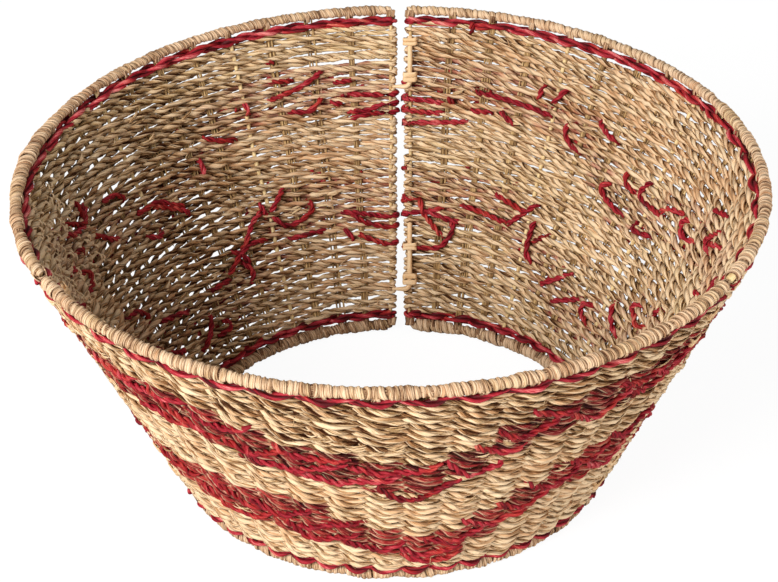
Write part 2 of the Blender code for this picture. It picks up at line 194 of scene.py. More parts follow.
# Bright red cords laid over the bands of the front panel, as azimuth in degrees and rise in millimetres
OUTER_ROUTES = (
    ((222, 226), (229, 232), (236, 238)), ((224, 204), (231, 200), (238, 206)),
    ((229, 238), (231, 224), (235, 206), (240, 200)), ((237, 226), (242, 218), (247, 230)),
    ((241, 197), (246, 191), (251, 201)), ((251, 207), (256, 198), (262, 202)),
    ((245, 196), (247, 180), (255, 180), (262, 196)), ((253, 176), (259, 165), (270, 173)),
    ((263, 187), (270, 182), (277, 190)), ((267, 160), (271, 138), (276, 146), (281, 165)),
    ((279, 190), (283, 171), (288, 180)), ((283, 214), (287, 199), (291, 201)),
    ((287, 226), (291, 216), (296, 228)), ((291, 250), (295, 238), (299, 234)),
    ((299, 226), (304, 210), (310, 228)), ((310, 226), (315, 212), (320, 220)),
    ((226, 88), (231, 74), (238, 72), (243, 84)), ((240, 104), (246, 92), (253, 108)),
    ((232, 112), (236, 96), (242, 92)), ((247, 84), (250, 62), (257, 66), (262, 78)),
    ((250, 76), (256, 88), (262, 96)), ((259, 66), (265, 52), (271, 60)),
    ((271, 52), (277, 40), (284, 52)), ((272, 38), (279, 27), (284, 40)),
    ((276, 66), (282, 60), (288, 72)), ((284, 90), (290, 79), (297, 86)),
    ((290, 112), (295, 95), (302, 104)), ((296, 130), (301, 112), (308, 124)),
    ((303, 148), (309, 130), (314, 140)), ((311, 118), (317, 100), (322, 116)),
    ((314, 152), (319, 136), (324, 146)), ((307, 244), (313, 232), (318, 240)),
    ((317, 228), (321, 218), (324.5, 228)), ((215.5, 238), (220, 230), (225, 238)),
    ((215.5, 108), (220, 98), (226, 104)),
)

# Red stitches inside, as azimuth in degrees and rise in millimetres
INNER_ROUTES = {
    "right_back": (
        ((74.9, 289), (74.9, 279)), ((59.5, 244), (60.2, 228)), ((54.5, 247), (57.2, 227)),
        ((72.9, 226), (63.4, 222), (56.6, 218)), ((78.4, 220), (76.9, 210)),
        ((87.6, 215), (83, 214), (78.8, 212)), ((87.6, 205), (83, 203), (78.8, 203)),
        ((87.4, 192), (80, 194), (73.8, 197)), ((73.6, 208), (69.1, 209)),
        ((67.4, 211), (63.9, 201)), ((53.1, 215), (52.7, 206), (50.9, 199), (48.3, 194)),
        ((46.3, 229), (44, 222), (40.4, 217)), ((35.9, 199), (34.9, 190), (32, 184)),
        ((28.6, 204), (30.4, 190), (29.1, 185), (23.4, 184), (21.6, 184)),
        ((16.3, 202), (20.6, 195), (23.1, 185)),
        ((13.1, 204), (14.5, 199), (13.4, 192), (11.3, 190), (8.4, 195)),
        ((39.1, 180), (40.7, 174), (38.4, 166), (32.7, 161)), ((28.4, 164), (27.4, 157), (22, 163)),
        ((0.9, 245), (6.6, 234)), ((-0.9, 234), (3.4, 212), (0, 208)), ((-3.7, 227), (2, 212)),
        ((65.9, 135), (57.7, 124)), ((54.9, 135), (61.6, 108)), ((73.4, 119), (61.6, 110)),
        ((54.7, 120), (54.9, 92), (53.1, 80)), ((50.6, 110), (54.1, 100)), ((40.6, 87), (48.8, 65)),
        ((34.9, 72), (44.3, 54)), ((30.6, 73), (33.4, 70), (32.7, 60), (28.8, 55)),
        ((24.1, 91), (22.4, 79), (17.4, 68)),
        ((14.5, 111), (17, 102), (14.1, 100), (12, 95), (9.1, 100)), ((5.2, 131), (7.4, 115)),
        ((87.6, 106), (81.3, 109), (76.6, 104), (73.1, 102)), ((83.1, 121), (82, 107), (77, 86)),
        ((77.4, 114), (81.3, 109)), ((75.2, 104), (74.9, 92), (77.7, 77), (84.1, 74)),
        ((-9, 190), (-5, 182)), ((-14, 232), (-19, 214)), ((-11, 108), (-16, 90)),
        ((-20, 120), (-22, 100)),
    ),
    "left_back": (
        ((129.2, 211), (126, 203), (122.2, 199)), ((131.8, 196), (131.7, 188), (132, 178)),
        ((121.3, 139), (119.8, 121)), ((114.5, 143), (118.7, 125)),
        ((118.7, 121), (116, 109), (112.7, 109), (110, 114), (108.5, 120), (109.5, 128)),
        ((120.7, 128), (124, 120), (127, 106), (128, 99)), ((131.7, 103), (129, 96), (127.2, 84)),
        ((128.4, 67), (127.6, 78), (129.4, 90)), ((121.2, 101), (127, 101), (134.7, 83)),
        ((134, 79), (141.5, 79)), ((115.7, 95), (110.5, 96), (106, 96)),
        ((101.7, 111), (97, 108), (91.5, 104)), ((99.7, 110), (96.5, 100), (91.5, 94)),
        ((101.3, 95), (99.3, 83)), ((98.6, 90), (95.6, 84), (91.5, 78)),
        ((110.3, 212), (106, 210), (103, 222)), ((114, 226), (108, 232), (102.5, 245)),
        ((98, 222), (95.5, 220), (91.5, 219)), ((98.3, 205), (94.5, 205), (91.5, 210)),
        ((98.3, 198), (94.6, 201), (91.5, 202)), ((119, 232), (118.4, 218)),
        ((101.6, 215), (99.4, 212)), ((100.5, 233), (96.6, 234)), ((113, 243), (108.4, 240)),
        ((112.8, 262), (111.6, 260)), ((159, 212), (155.6, 209), (153.3, 199)),
        ((166.3, 197), (163.5, 184), (160.2, 176)), ((151.5, 180), (145.5, 178), (142, 168), (139, 161)),
        ((147, 177), (141.5, 163), (138.3, 152)), ((152, 158), (149.4, 151), (147, 153)),
        ((177, 230), (174, 220), (168.5, 216), (164.8, 226)), ((174, 232), (168.6, 216), (167, 236)),
        ((178, 212), (174.5, 206), (173.6, 200)), ((185, 213), (181.5, 209)),
        ((183, 183), (179.5, 182), (177.5, 189), (180, 198)),
        ((173.5, 126), (168, 118), (164.2, 102)), ((160.5, 88), (155, 82), (149.8, 75)),
        ((143.6, 60), (146.5, 48), (151.3, 36)), ((144, 38), (139.6, 40), (140.6, 50)),
        ((164, 64), (161.5, 56), (157.5, 51)), ((172, 86), (167, 74)),
        ((188, 150), (184, 140)), ((195, 205), (190, 196)), ((201, 222), (196, 216)),
    ),
}

# Tufts of leaf on the front panel, as azimuth in degrees and rise in metres
FRONT_SPLICES = ((264, 0.222), (267, 0.216), (270, 0.221), (258, 0.232), (247, 0.150), (283, 0.128))

# What the photograph shows of the view: distance, elevation, degrees that the camera stands to the
# right of the middle of the front panel, and the point that it looks at
CAMERA_DISTANCE = 2.17
CAMERA_ELEVATION = math.radians(33.48)
CAMERA_TURN = 2.3
CAMERA_ROLL = -1.0
OBJECT_MIDDLE = Vector((0, 0, 0.141))
CAMERA_AIM = Vector((-0.0026, 0.0099, 0.1574))
LENS = 116.5
# Soft boxes: place, size, and how brightly they light a plain surface at the object
LAMPS = {"key": ((-1.8, -2.54, 1.94), 1.5, 1.15), "fill": ((2.21, -1.72, 0.36), 0.5, 0.40)}
WORLD_LIGHT = 0.36
# The floor: size, grey that lights the object, grey that takes its shadow, and glow
FLOOR_SIZE = 30
FLOOR_GREY = 0.55
SHADOW_GREY = 0.12
FLOOR_GLOW = 0.93
SEED = 11


def srgb(red, green, blue):
    """Linear colour of a screen colour given in 0 to 255."""
    return tuple(((value / 255 + 0.055) / 1.055) ** 2.4 for value in (red, green, blue)) + (1,)


def rim_angles(start, radius, share, past=0.0):
    """Azimuths on a rim: share 0 and 1 are the panel's two edge stakes."""
    inset = np.arcsin((STAKE_OFFSET - past) / radius)
    return start + inset + (PANEL_ANGLE - 2 * inset) * share


def wall_radius(rise):
    """Radius of the wall's cone at a rise along its slope."""
    return BOTTOM_RADIUS + RIM_LEAN * rise / WALL_LENGTH


def share_at(start, degrees, rise):
    """Share across a panel of an azimuth in degrees at a rise."""
    inset = np.arcsin(STAKE_OFFSET / wall_radius(rise))
    turned = (np.radians(degrees) - start) % (2 * math.pi)
    return (turned - inset) / (PANEL_ANGLE - 2 * inset)


def wall_axes(start, share):
    """Unit vectors across (with growing share), outward and up the wall."""
    azimuth = rim_angles(start, BOTTOM_RADIUS, np.asarray(share, float))
    cosine, sine = np.cos(azimuth), np.sin(azimuth)
    across = np.stack((-sine, cosine, 0 * sine), -1)
    lean_sine, lean_cosine = math.sin(LEAN_ANGLE), math.cos(LEAN_ANGLE)
    outward = np.stack((cosine * lean_cosine, sine * lean_cosine, 0 * sine - lean_sine), -1)
    upward = np.stack((cosine * lean_sine, sine * lean_sine, 0 * sine + lean_cosine), -1)
    return across, outward, upward


def outward_at(start, share):
    return wall_axes(start, share)[1]


def upward_at(start, share):
    return wall_axes(start, share)[2]


def wall_places(start, share, rise, outward=0.0, across=0.0):
    """Places on a panel: share across it, rise up the wall, and distances outward and across."""
    share, rise, outward, across = np.broadcast_arrays(
        *(np.asarray(value, float) for value in (share, rise, outward, across)))
    low = rim_angles(start, BOTTOM_RADIUS, share)
    high = rim_angles(start, TOP_RADIUS, share)
    part = rise / WALL_LENGTH
    low_reach, high_reach = BOTTOM_RADIUS * (1 - part), TOP_RADIUS * part
    base = np.stack((np.cos(low) * low_reach + np.cos(high) * high_reach,
                     np.sin(low) * low_reach + np.sin(high) * high_reach,
                     FOOT_HEIGHT + RIM_HEIGHT * part), -1)
    across_axis, outward_axis, _ = wall_axes(start, share)
    return base + outward_axis * outward[..., None] + across_axis * across[..., None]


def unit(vectors):
    return vectors / np.maximum(np.linalg.norm(vectors, axis=-1, keepdims=True), 1e-12)


def lengths_along(path):
    """Distance from the path's start at each of its points."""
    return np.concatenate(([0.0], np.cumsum(np.linalg.norm(np.diff(path, axis=0), axis=1))))


def section_axes(path, up):
    """Two unit vectors square to the path at each point; the second is as near to up as it can be."""
    tangent = unit(np.gradient(path, axis=0))
    side = unit(np.cross(up, tangent))
    return side, np.cross(tangent, side)


def ripple(rng, places, wave, count=4):
    """Smooth noise of about -1 to 1 along a line, made of a few sine waves near one wave length."""
    total = np.zeros_like(places)
    for _ in range(count):
        total += np.sin(2 * math.pi * places / (wave * rng.uniform(0.6, 1.7)) + rng.uniform(0, 2 * math.pi))
    return total / math.sqrt(count)


def smooth_route(points, step):
    """Places every step along a smooth curve through a route's points."""
    points = np.asarray(points, float)
    if len(points) == 2:
        points = np.array((points[0], (points[0] + points[1]) / 2, points[1]))
    before = 2 * points[0] - points[1]
    after = 2 * points[-1] - points[-2]
    knots = np.vstack((before, points, after))
    places = []
    for index in range(1, len(knots) - 2):
        first, second, third, fourth = knots[index - 1:index + 3]
        count = max(2, int(np.linalg.norm(third - second) / step))
        for part in np.arange(count) / count:
            places.append(0.5 * (2 * second + (third - first) * part
                                 + (2 * first - 5 * second + 4 * third - fourth) * part ** 2
                                 + (3 * second - first - 3 * third + fourth) * part ** 3))
    places.append(points[-1])
    return np.array(places)


class Strands:
    """Gathers swept tubes and makes one mesh of them, with what the materials read.

    The attribute fibre is a place in the strand in millimetres, along it and across it, so that grain
    follows the strand. The attribute look holds its shade, which carries painted light and shade as well
    as random paler and darker places, its share of red dye and its tone. The attribute painted_edge_light
    is positive at a leaf's edge with a painted highlight and negative at its edge with painted shade.
    """

    def __init__(self, sides, rng, profile=1.0, shades=0.0, painted_edge_sides=0.0):
        self.sides = sides
        self.rng = rng
        self.profile, self.shades, self.painted_edge_sides = (
            np.broadcast_to(np.asarray(values, float), (sides,)) for values in (profile, shades, painted_edge_sides))
        self.points, self.fibre, self.look, self.painted_edge_light = [], [], [], []
        self.quads, self.triangles, self.lengths = [], [], []
        self.count = 0

    def add(self, path, side, up, half_side, half_up, shade=0.5, red=0.0, tone=0.5, face=None, way=1.0):
        """Sweep an oval section along a path; sizes and looks are numbers or one for each point.

        Where face gives a direction at each point, only the sides that turn that way are dyed. The
        sign of way tells on which edge of the leaf the painted highlight lies.
        """
        number = len(path)
        angles = 2 * math.pi * np.arange(self.sides) / self.sides
        half_side, half_up, shade, red, tone, way = (
            np.broadcast_to(np.asarray(value, float), (number,))
            for value in (half_side, half_up, shade, red, tone, way))
        cosine, sine = self.profile * np.cos(angles), self.profile * np.sin(angles)
        rings = (path[:, None] + side[:, None] * (half_side[:, None] * cosine)[..., None]
                 + up[:, None] * (half_up[:, None] * sine)[..., None])
        along = lengths_along(path)
        key = self.rng.uniform(-500, 500, 3)
        fibre = np.stack((np.broadcast_to(along[:, None] * 1000, rings.shape[:2]),
                          half_side[:, None] * cosine * 1000, half_up[:, None] * sine * 1000), -1) + key
        look = np.repeat(np.stack((shade, red, tone), -1), self.sides, axis=0)
        # Painted shade and highlight round the section: one shade offset for each side
        look[:, 0] += np.tile(self.shades, number)
        if face is not None:
            turned_out = np.einsum("nsk,nk->ns", unit(rings - path[:, None]), face)
            look[:, 1] *= np.clip(0.55 + 1.3 * turned_out, DYE_INSIDE, 1).ravel()
        ends = np.array((path[0] - 0.2 * (path[1] - path[0]), path[-1] + 0.2 * (path[-1] - path[-2])))
        self.points += [rings.reshape(-1, 3), ends]
        self.fibre += [fibre.reshape(-1, 3), fibre[(0, -1), 0]]
        self.look += [look, look[[0, -1]]]
        # Painted highlight along one edge of the leaf and painted shade along the other
        self.painted_edge_light += [(way[:, None] * self.painted_edge_sides).ravel(), np.zeros(2)]
        ring = np.arange(number - 1)[:, None] * self.sides
        here = np.arange(self.sides)[None]
        following = (here + 1) % self.sides
        quads = np.stack((ring + here, ring + following, ring + self.sides + following,
                          ring + self.sides + here), -1).reshape(-1, 4)
        self.quads.append(quads + self.count)
        first_end = number * self.sides
        last_ring = first_end - self.sides
        around, ahead = here[0], following[0]
        fans = np.concatenate((
            np.stack((ahead, around, np.full(self.sides, first_end)), -1),
            np.stack((last_ring + around, last_ring + ahead, np.full(self.sides, first_end + 1)), -1)))
        self.triangles.append(fans + self.count)
        self.lengths.append(along)
        self.count += first_end + 2

    def add_twisted(self, path, up, cord, size, shade, red, tone, ply_shade=0.12, face=None, way=1.0):
        """Sweep a cord of two plies that wind round each other."""
        offset, half_across, half_round, turn_length, wobble = CORDS[cord]
        side, over = section_axes(path, up)
        along = lengths_along(path)
        turn = 2 * math.pi * along / turn_length + self.rng.uniform(0, 2 * math.pi)
        turn = turn + wobble * ripple(self.rng, along, 3.5 * turn_length)
        for start in (0, math.pi):
            angle = (turn + start)[:, None]
            radial = side * np.cos(angle) + over * np.sin(angle)
            tangential = over * np.cos(angle) - side * np.sin(angle)
            swell = 1 + 0.09 * ripple(self.rng, along, 0.6 * turn_length)
            centre = path + radial * (np.broadcast_to(offset * size, along.shape) * swell)[:, None]
            lighter = shade + self.rng.uniform(-ply_shade, ply_shade)
            self.add(centre, radial, tangential, half_across * size * swell,
                     half_round * size * swell, lighter, red, tone + self.rng.uniform(-0.1, 0.1), face, way)

    def strips(self):
        """Map of all faces: tubes laid end to end and folded into strips of equal length."""
        spans = [np.diff(along) for along in self.lengths]
        spans = np.maximum(np.concatenate(spans), 1e-6)
        total = spans.sum()
        girth = 0.0075
        strip_count = max(1, int(math.sqrt(total / girth)))
        strip_length = total / strip_count * 1.02
        starts = np.concatenate(([0.0], np.cumsum(spans)[:-1]))
        row = np.floor(starts / strip_length)
        left = (starts - row * strip_length) / strip_length * 0.98
        right = left + spans / strip_length * 0.98
        rows = row.max() + 1
        here = np.arange(self.sides) / self.sides
        ahead = here + 1 / self.sides
        low = (row[:, None] + 0.04 + 0.92 * here[None]) / rows
        high = (row[:, None] + 0.04 + 0.92 * ahead[None]) / rows
        left, right = np.broadcast_to(left[:, None], low.shape), np.broadcast_to(right[:, None], low.shape)
        corners = np.stack((left, low, left, high, right, high, right, low), -1)
        return corners.reshape(-1, 2), rows

    def make(self, panel, name, slot, node=None, body="panel"):
        """Make the mesh, let it ride on a body of the panel and stand for a node of the part."""
        points = np.concatenate(self.points)
        quads = np.concatenate(self.quads)
        fans = np.concatenate(self.triangles)
        corners = np.concatenate((quads.ravel(), fans.ravel()))
        starts = np.concatenate((np.arange(len(quads)) * 4, len(quads) * 4 + np.arange(len(fans)) * 3))
        mesh = bpy.data.meshes.new(f"{panel}_{name}")
        mesh.vertices.add(len(points))
        mesh.vertices.foreach_set("co", points.astype(np.float32).ravel())
        mesh.loops.add(len(corners))
        mesh.loops.foreach_set("vertex_index", corners.astype(np.int32))
        mesh.polygons.add(len(starts))
        mesh.polygons.foreach_set("loop_start", starts.astype(np.int32))
        mesh.update(calc_edges=True)
        mesh.validate()
        mesh.shade_smooth()
        quad_map, rows = self.strips()
        fan_map = np.tile(((0.985, 0.0), (0.99, 0.0), (0.99, 0.5 / rows)), (len(fans), 1))
        layer = mesh.uv_layers.new(name="OFBake")
        layer.data.foreach_set("uv", np.concatenate((quad_map, fan_map)).astype(np.float32).ravel())
        for key, kind, field, values in (("fibre", "FLOAT_VECTOR", "vector", self.fibre),
                                         ("look", "FLOAT_VECTOR", "vector", self.look),
                                         ("painted_edge_light", "FLOAT", "value", self.painted_edge_light)):
            attribute = mesh.attributes.new(key, kind, "POINT")
            attribute.data.foreach_set(field, np.concatenate(values).astype(np.float32).ravel())
        mesh.materials.append(MATERIALS[slot])
        piece = bpy.data.objects.new(f"{panel}_{name}", mesh)
        bpy.context.scene.collection.objects.link(piece)
        if node:
            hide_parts(f"{panel}_{node}")
        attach(piece, f"{panel}_{body}")


class Nodes:
    """Makes a material's node tree with few words."""

    def __init__(self, name):
        self.material = bpy.data.materials.new(name)
        self.material.use_nodes = True
        self.tree = self.material.node_tree
        self.shader = self.tree.nodes["Principled BSDF"]

    def add(self, kind, output=0, **values):
        """Add a node and return one of its outputs.

        Names of inputs have a capital, and _ for a space. The others are settings of the node.
        """
        node = self.tree.nodes.new(kind)
        for key, value in values.items():
            if key[0].isupper():
                self.feed(node.inputs[key.replace("_", " ")], value)
            else:
                setattr(node, key, value)
        return node.outputs[output]

    def feed(self, socket, value):
        if isinstance(value, bpy.types.NodeSocket):
            self.tree.links.new(value, socket)
        else:
            socket.default_value = value

    def maths(self, operation, first, second, clamp=False):
        result = self.add("ShaderNodeMath", operation=operation, use_clamp=clamp)
        self.feed(result.node.inputs[0], first)
        self.feed(result.node.inputs[1], second)
        return result

    def plus(self, first, second):
        return self.maths("ADD", first, second)

    def minus(self, first, second):
        return self.maths("SUBTRACT", first, second)

    def times(self, first, second, clamp=False):
        return self.maths("MULTIPLY", first, second, clamp)

    def above(self, value, base, gain, clamp=False):
        """How far a value lies above a base, times a gain."""
        return self.times(self.minus(value, base), gain, clamp)

    def mix(self, factor, first, second, blend="MIX"):
        result = self.add("ShaderNodeMix", 2, data_type="RGBA", blend_type=blend)
        for place, value in ((0, factor), (6, first), (7, second)):
            self.feed(result.node.inputs[place], value)
        return result

    def ramp(self, factor, *stops):
        node = self.tree.nodes.new("ShaderNodeValToRGB")
        elements = node.color_ramp.elements
        while len(elements) < len(stops):
            elements.new(1.0)
        for element, (place, colour) in zip(elements, stops):
            element.position = place
            element.color = colour
        self.feed(node.inputs[0], factor)
        return node.outputs[0]

    def grain(self, along, across, detail=3.0, roughness=0.55):
        """Noise that follows the strands: scales along and across them, in one over millimetres."""
        place = self.add("ShaderNodeAttribute", 1, attribute_name="fibre")
        scaled = self.add("ShaderNodeVectorMath", operation="MULTIPLY")
        self.feed(scaled.node.inputs[0], place)
        self.feed(scaled.node.inputs[1], (along, across, across))
        return self.add("ShaderNodeTexNoise", Vector=scaled, Scale=1.0, Detail=detail, Roughness=roughness)

    def looks(self):
        """Shade, red dye and tone of the strand."""
        place = self.add("ShaderNodeAttribute", 1, attribute_name="look")
        return tuple(self.add("ShaderNodeSeparateXYZ", Vector=place).node.outputs)

    def finish(self, colour, roughness, sheen, relief, depth, strength):
        """Feed the shader with colour, roughness, sheen and the relief of the fibres."""
        bump = self.add("ShaderNodeBump", Height=relief, Distance=depth, Strength=strength)
        for key, value in (("Base Color", colour), ("Roughness", roughness),
                           ("Specular IOR Level", sheen), ("Normal", bump)):
            self.feed(self.shader.inputs[key], value)
        return self.material


def seagrass(name, dark, middle, pale):
    """Dried seagrass: fine long streaks, tones that change along the strand, and red dye where it is."""
    nodes = Nodes(name)
    streaks = nodes.grain(0.10, 1.7, detail=4.0, roughness=0.65)
    patches = nodes.grain(0.035, 0.10, detail=2.0)
    shade, red, tone = nodes.looks()
    level = nodes.plus(streaks, nodes.above(shade, 0.5, 0.55))
    base = nodes.ramp(level, (0.345, dark), (0.475, middle), (0.615, pale))
    tinted = nodes.plus(patches, nodes.above(tone, 0.5, 0.5))
    greener = nodes.times(nodes.above(tinted, 0.52, 4.0, clamp=True), 0.45)
    browner = nodes.times(nodes.above(0.42, tinted, 4.5, clamp=True), 0.6)
    base = nodes.mix(greener, base, srgb(222, 216, 172), "MULTIPLY")
    base = nodes.mix(browner, base, srgb(218, 176, 138), "MULTIPLY")
    painted_edge_light = nodes.add("ShaderNodeAttribute", 2, attribute_name="painted_edge_light")
    # Painted shade along one edge of each leaf
    painted_groove_shade = nodes.above(-0.35, painted_edge_light, 2.0, clamp=True)
    base = nodes.mix(nodes.times(painted_groove_shade, 0.55), base, dark)
    # Painted highlight along the other edge of each leaf
    edge = nodes.times(nodes.above(painted_edge_light, 0.5, 3.0, clamp=True), nodes.plus(patches, 0.25), clamp=True)
    base = nodes.mix(edge, base, pale)
    dye = nodes.ramp(level, (0.32, srgb(40, 4, 6)), (0.50, srgb(106, 16, 22)), (0.68, srgb(164, 44, 42)))
    # The dye keeps off the pale streaks and off the painted highlights along the leaf edges
    pale_streak_or_painted_highlight = nodes.maths("MAXIMUM", nodes.above(streaks, 0.54, 7.0, clamp=True), edge)
    dye_kept_off_wear_and_highlights = nodes.minus(1.0, nodes.times(pale_streak_or_painted_highlight, 0.55))
    spread = nodes.times(nodes.times(red, 1.9), nodes.plus(0.55, patches), clamp=True)
    colour = nodes.mix(nodes.times(spread, dye_kept_off_wear_and_highlights), base, dye)
    roughness = nodes.plus(nodes.times(streaks, -0.35), 0.86)
    return nodes.finish(colour, roughness, 0.12, streaks, 0.0005, 0.7)


def dyed_cord(name):
    """Red dyed seagrass, darker in the grooves of its fibres, with a slight sheen."""
    nodes = Nodes(name)
    streaks = nodes.grain(0.12, 1.9, detail=4.0, roughness=0.6)
    patches = nodes.grain(0.05, 0.15, detail=2.0)
    shade, _, tone = nodes.looks()
    level = nodes.plus(nodes.plus(streaks, nodes.times(patches, 0.25)), nodes.above(shade, 0.72, 0.5))
    # The streaks darken the grooves of the fibres, partly as fibre colour and partly as painted shade; the
    # palest stop of each ramp is a painted highlight
    crimson = nodes.ramp(level, (0.32, srgb(74, 3, 10)), (0.50, srgb(150, 14, 32)),
                         (0.66, srgb(190, 48, 60)), (0.78, srgb(230, 136, 130)))
    scarlet = nodes.ramp(level, (0.32, srgb(86, 7, 8)), (0.50, srgb(160, 24, 28)),
                         (0.66, srgb(194, 62, 52)), (0.78, srgb(226, 138, 116)))
    warmth = nodes.times(nodes.plus(nodes.minus(patches, 0.5), nodes.minus(tone, 0.5)), 5.0, clamp=True)
    roughness = nodes.plus(nodes.times(streaks, -0.3), 0.72)
    return nodes.finish(nodes.mix(warmth, crimson, scarlet), roughness, 0.25, streaks, 0.0005, 0.7)


def rattan(name, dark, middle, pale, roughness):
    """Peeled rattan: pale, with fine long pores and soft bands."""
    nodes = Nodes(name)
    pores = nodes.grain(0.12, 3.2, detail=3.0, roughness=0.7)
    bands = nodes.grain(0.06, 0.25, detail=3.0)
    shade, _, _ = nodes.looks()
    level = nodes.plus(nodes.times(pores, 0.45), nodes.times(bands, 0.55))
    level = nodes.plus(level, nodes.above(shade, 0.5, 0.4))
    colour = nodes.ramp(level, (0.32, dark), (0.48, middle), (0.64, pale))
    return nodes.finish(colour, nodes.plus(nodes.times(bands, 0.2), roughness), 0.3, pores, 0.00025, 0.5)


# The material of each slot
MATERIALS = {
    "seagrass_weave": seagrass("weft_seagrass", srgb(66, 32, 10), srgb(188, 146, 98), srgb(244, 214, 174)),
    "seagrass_wrap": seagrass("wrap_seagrass", srgb(78, 40, 20), srgb(188, 148, 110), srgb(238, 206, 170)),
    "red_cord": dyed_cord("red_cord"),
    "stake_rattan": rattan("stake_rattan", srgb(120, 88, 50), srgb(196, 158, 104), srgb(244, 216, 160), 0.5),
    "pin_rattan": rattan("pin_rattan", srgb(206, 158, 102), srgb(236, 194, 144), srgb(246, 216, 174), 0.38),
}


def row_rise(row):
    """Rise of a row of the weft up the wall."""
    return FIRST_ROW_RISE + ROW_PITCH * row


def red_floats(panel, rng):
    """Share of red dye of the outer float at each row and stake: the bands go in steps of one float."""
    shares = np.arange(BAYS + 1) / BAYS
    if panel == "left_back":
        shares = 1 - shares
    shares = shares - CAMERA_TURN / math.degrees(PANEL_ANGLE)
    rises = row_rise(np.arange(ROWS))[:, None]
    red = np.zeros((ROWS, BAYS + 1))
    for band in (UPPER_BAND, LOWER_BAND):
        places, *edges = np.array(band).T
        top, bottom = (np.interp(shares, places, edge) for edge in edges)
        red[(rises < top) & (rises > bottom)] = OUTER_DYE
    return red * rng.uniform(0.75, 1.25, red.shape)


def between_stakes(values, stake, part):
    """Values given at the stakes, blended along each bay; part is the place in the bay."""
    eased = 0.3 * part + 0.7 * (1 - np.cos(math.pi * part)) / 2
    return values[stake] * (1 - eased) + values[np.minimum(stake + 1, BAYS)] * eased


def near_pin_tip(rise):
    """Whether the tip of the next panel's pin comes by the catch side at this rise."""
    return min(abs(rise - pin["arm"]) for pin in PINS.values()) < NEAR_PIN


def edge_reach(edge, rise):
    """How far the weft stands out round an edge stake: less under the loops and by the pins' tips."""
    loops = [loop[0] for pin in PINS.values() for loop in pin["loops"].values()]
    held = min(abs(rise - loop) for loop in loops) < NEAR_PIN if edge else near_pin_tip(rise)
    return LOOPED_REACH if held else EDGE_REACH


def weft_row(row, swing, lift, thick, red, tone, rng):
    """A row of the weft from the first edge to the last, from its values at the stakes.

    It gives share, rise, distance outward and across, dye, swell, shade, tone and way of its points.
    """
    steps = max(8, round(wall_radius(row_rise(row)) * PANEL_ANGLE / BAYS / WEFT_STEP))
    places = np.arange(BAYS * steps + 1) / steps
    stake = np.minimum(places.astype(int), BAYS - 1)
    part = places - stake
    sign = np.where((np.arange(BAYS + 1) + row) % 2 == 0, 1.0, -1.0)
    depth = between_stakes(swing * sign, stake, part)
    height = row_rise(row) + between_stakes(lift, stake, part)
    height = height + 0.00040 * ripple(rng, places, 0.5) * np.clip(np.minimum(places, BAYS - places), 0, 1)
    nearest = np.rint(places).astype(int)
    outside = np.where(sign[nearest] > 0, red[nearest], 0.0) * np.clip(0.45 + depth / WEFT_SWING, 0, 1)
    dye = np.maximum(outside, INNER_DYE * red[nearest] * np.clip(-depth / WEFT_SWING, 0, 1))
    shade = 0.5 + 0.12 * ripple(rng, places, 5.0)
    tone = tone + 0.2 * ripple(rng, places, 7.0)
    swell = between_stakes(thick, stake, part)
    way = 1.0 if row % 2 == 0 else -1.0
    return np.stack(np.broadcast_arrays(places / BAYS, height, depth, 0.0, dye, swell, shade, tone, way))


def weft_turn(row, edge, height, swing):
    """Half a turn round an edge stake from one row to the next, as the same values."""
    turn = math.pi * np.arange(1, 8) / 8
    sign = 1.0 if (edge * BAYS + row) % 2 == 0 else -1.0
    height = height + ROW_PITCH * turn / math.pi
    depth = sign * swing * np.cos(turn)
    across = AWAY[edge] * edge_reach(edge, row_rise(row) + ROW_PITCH / 2) * np.sin(turn)
    return np.stack(np.broadcast_arrays(edge, height, depth, across, 0.0, 0.96, 0.55, 0.5, 0.0))


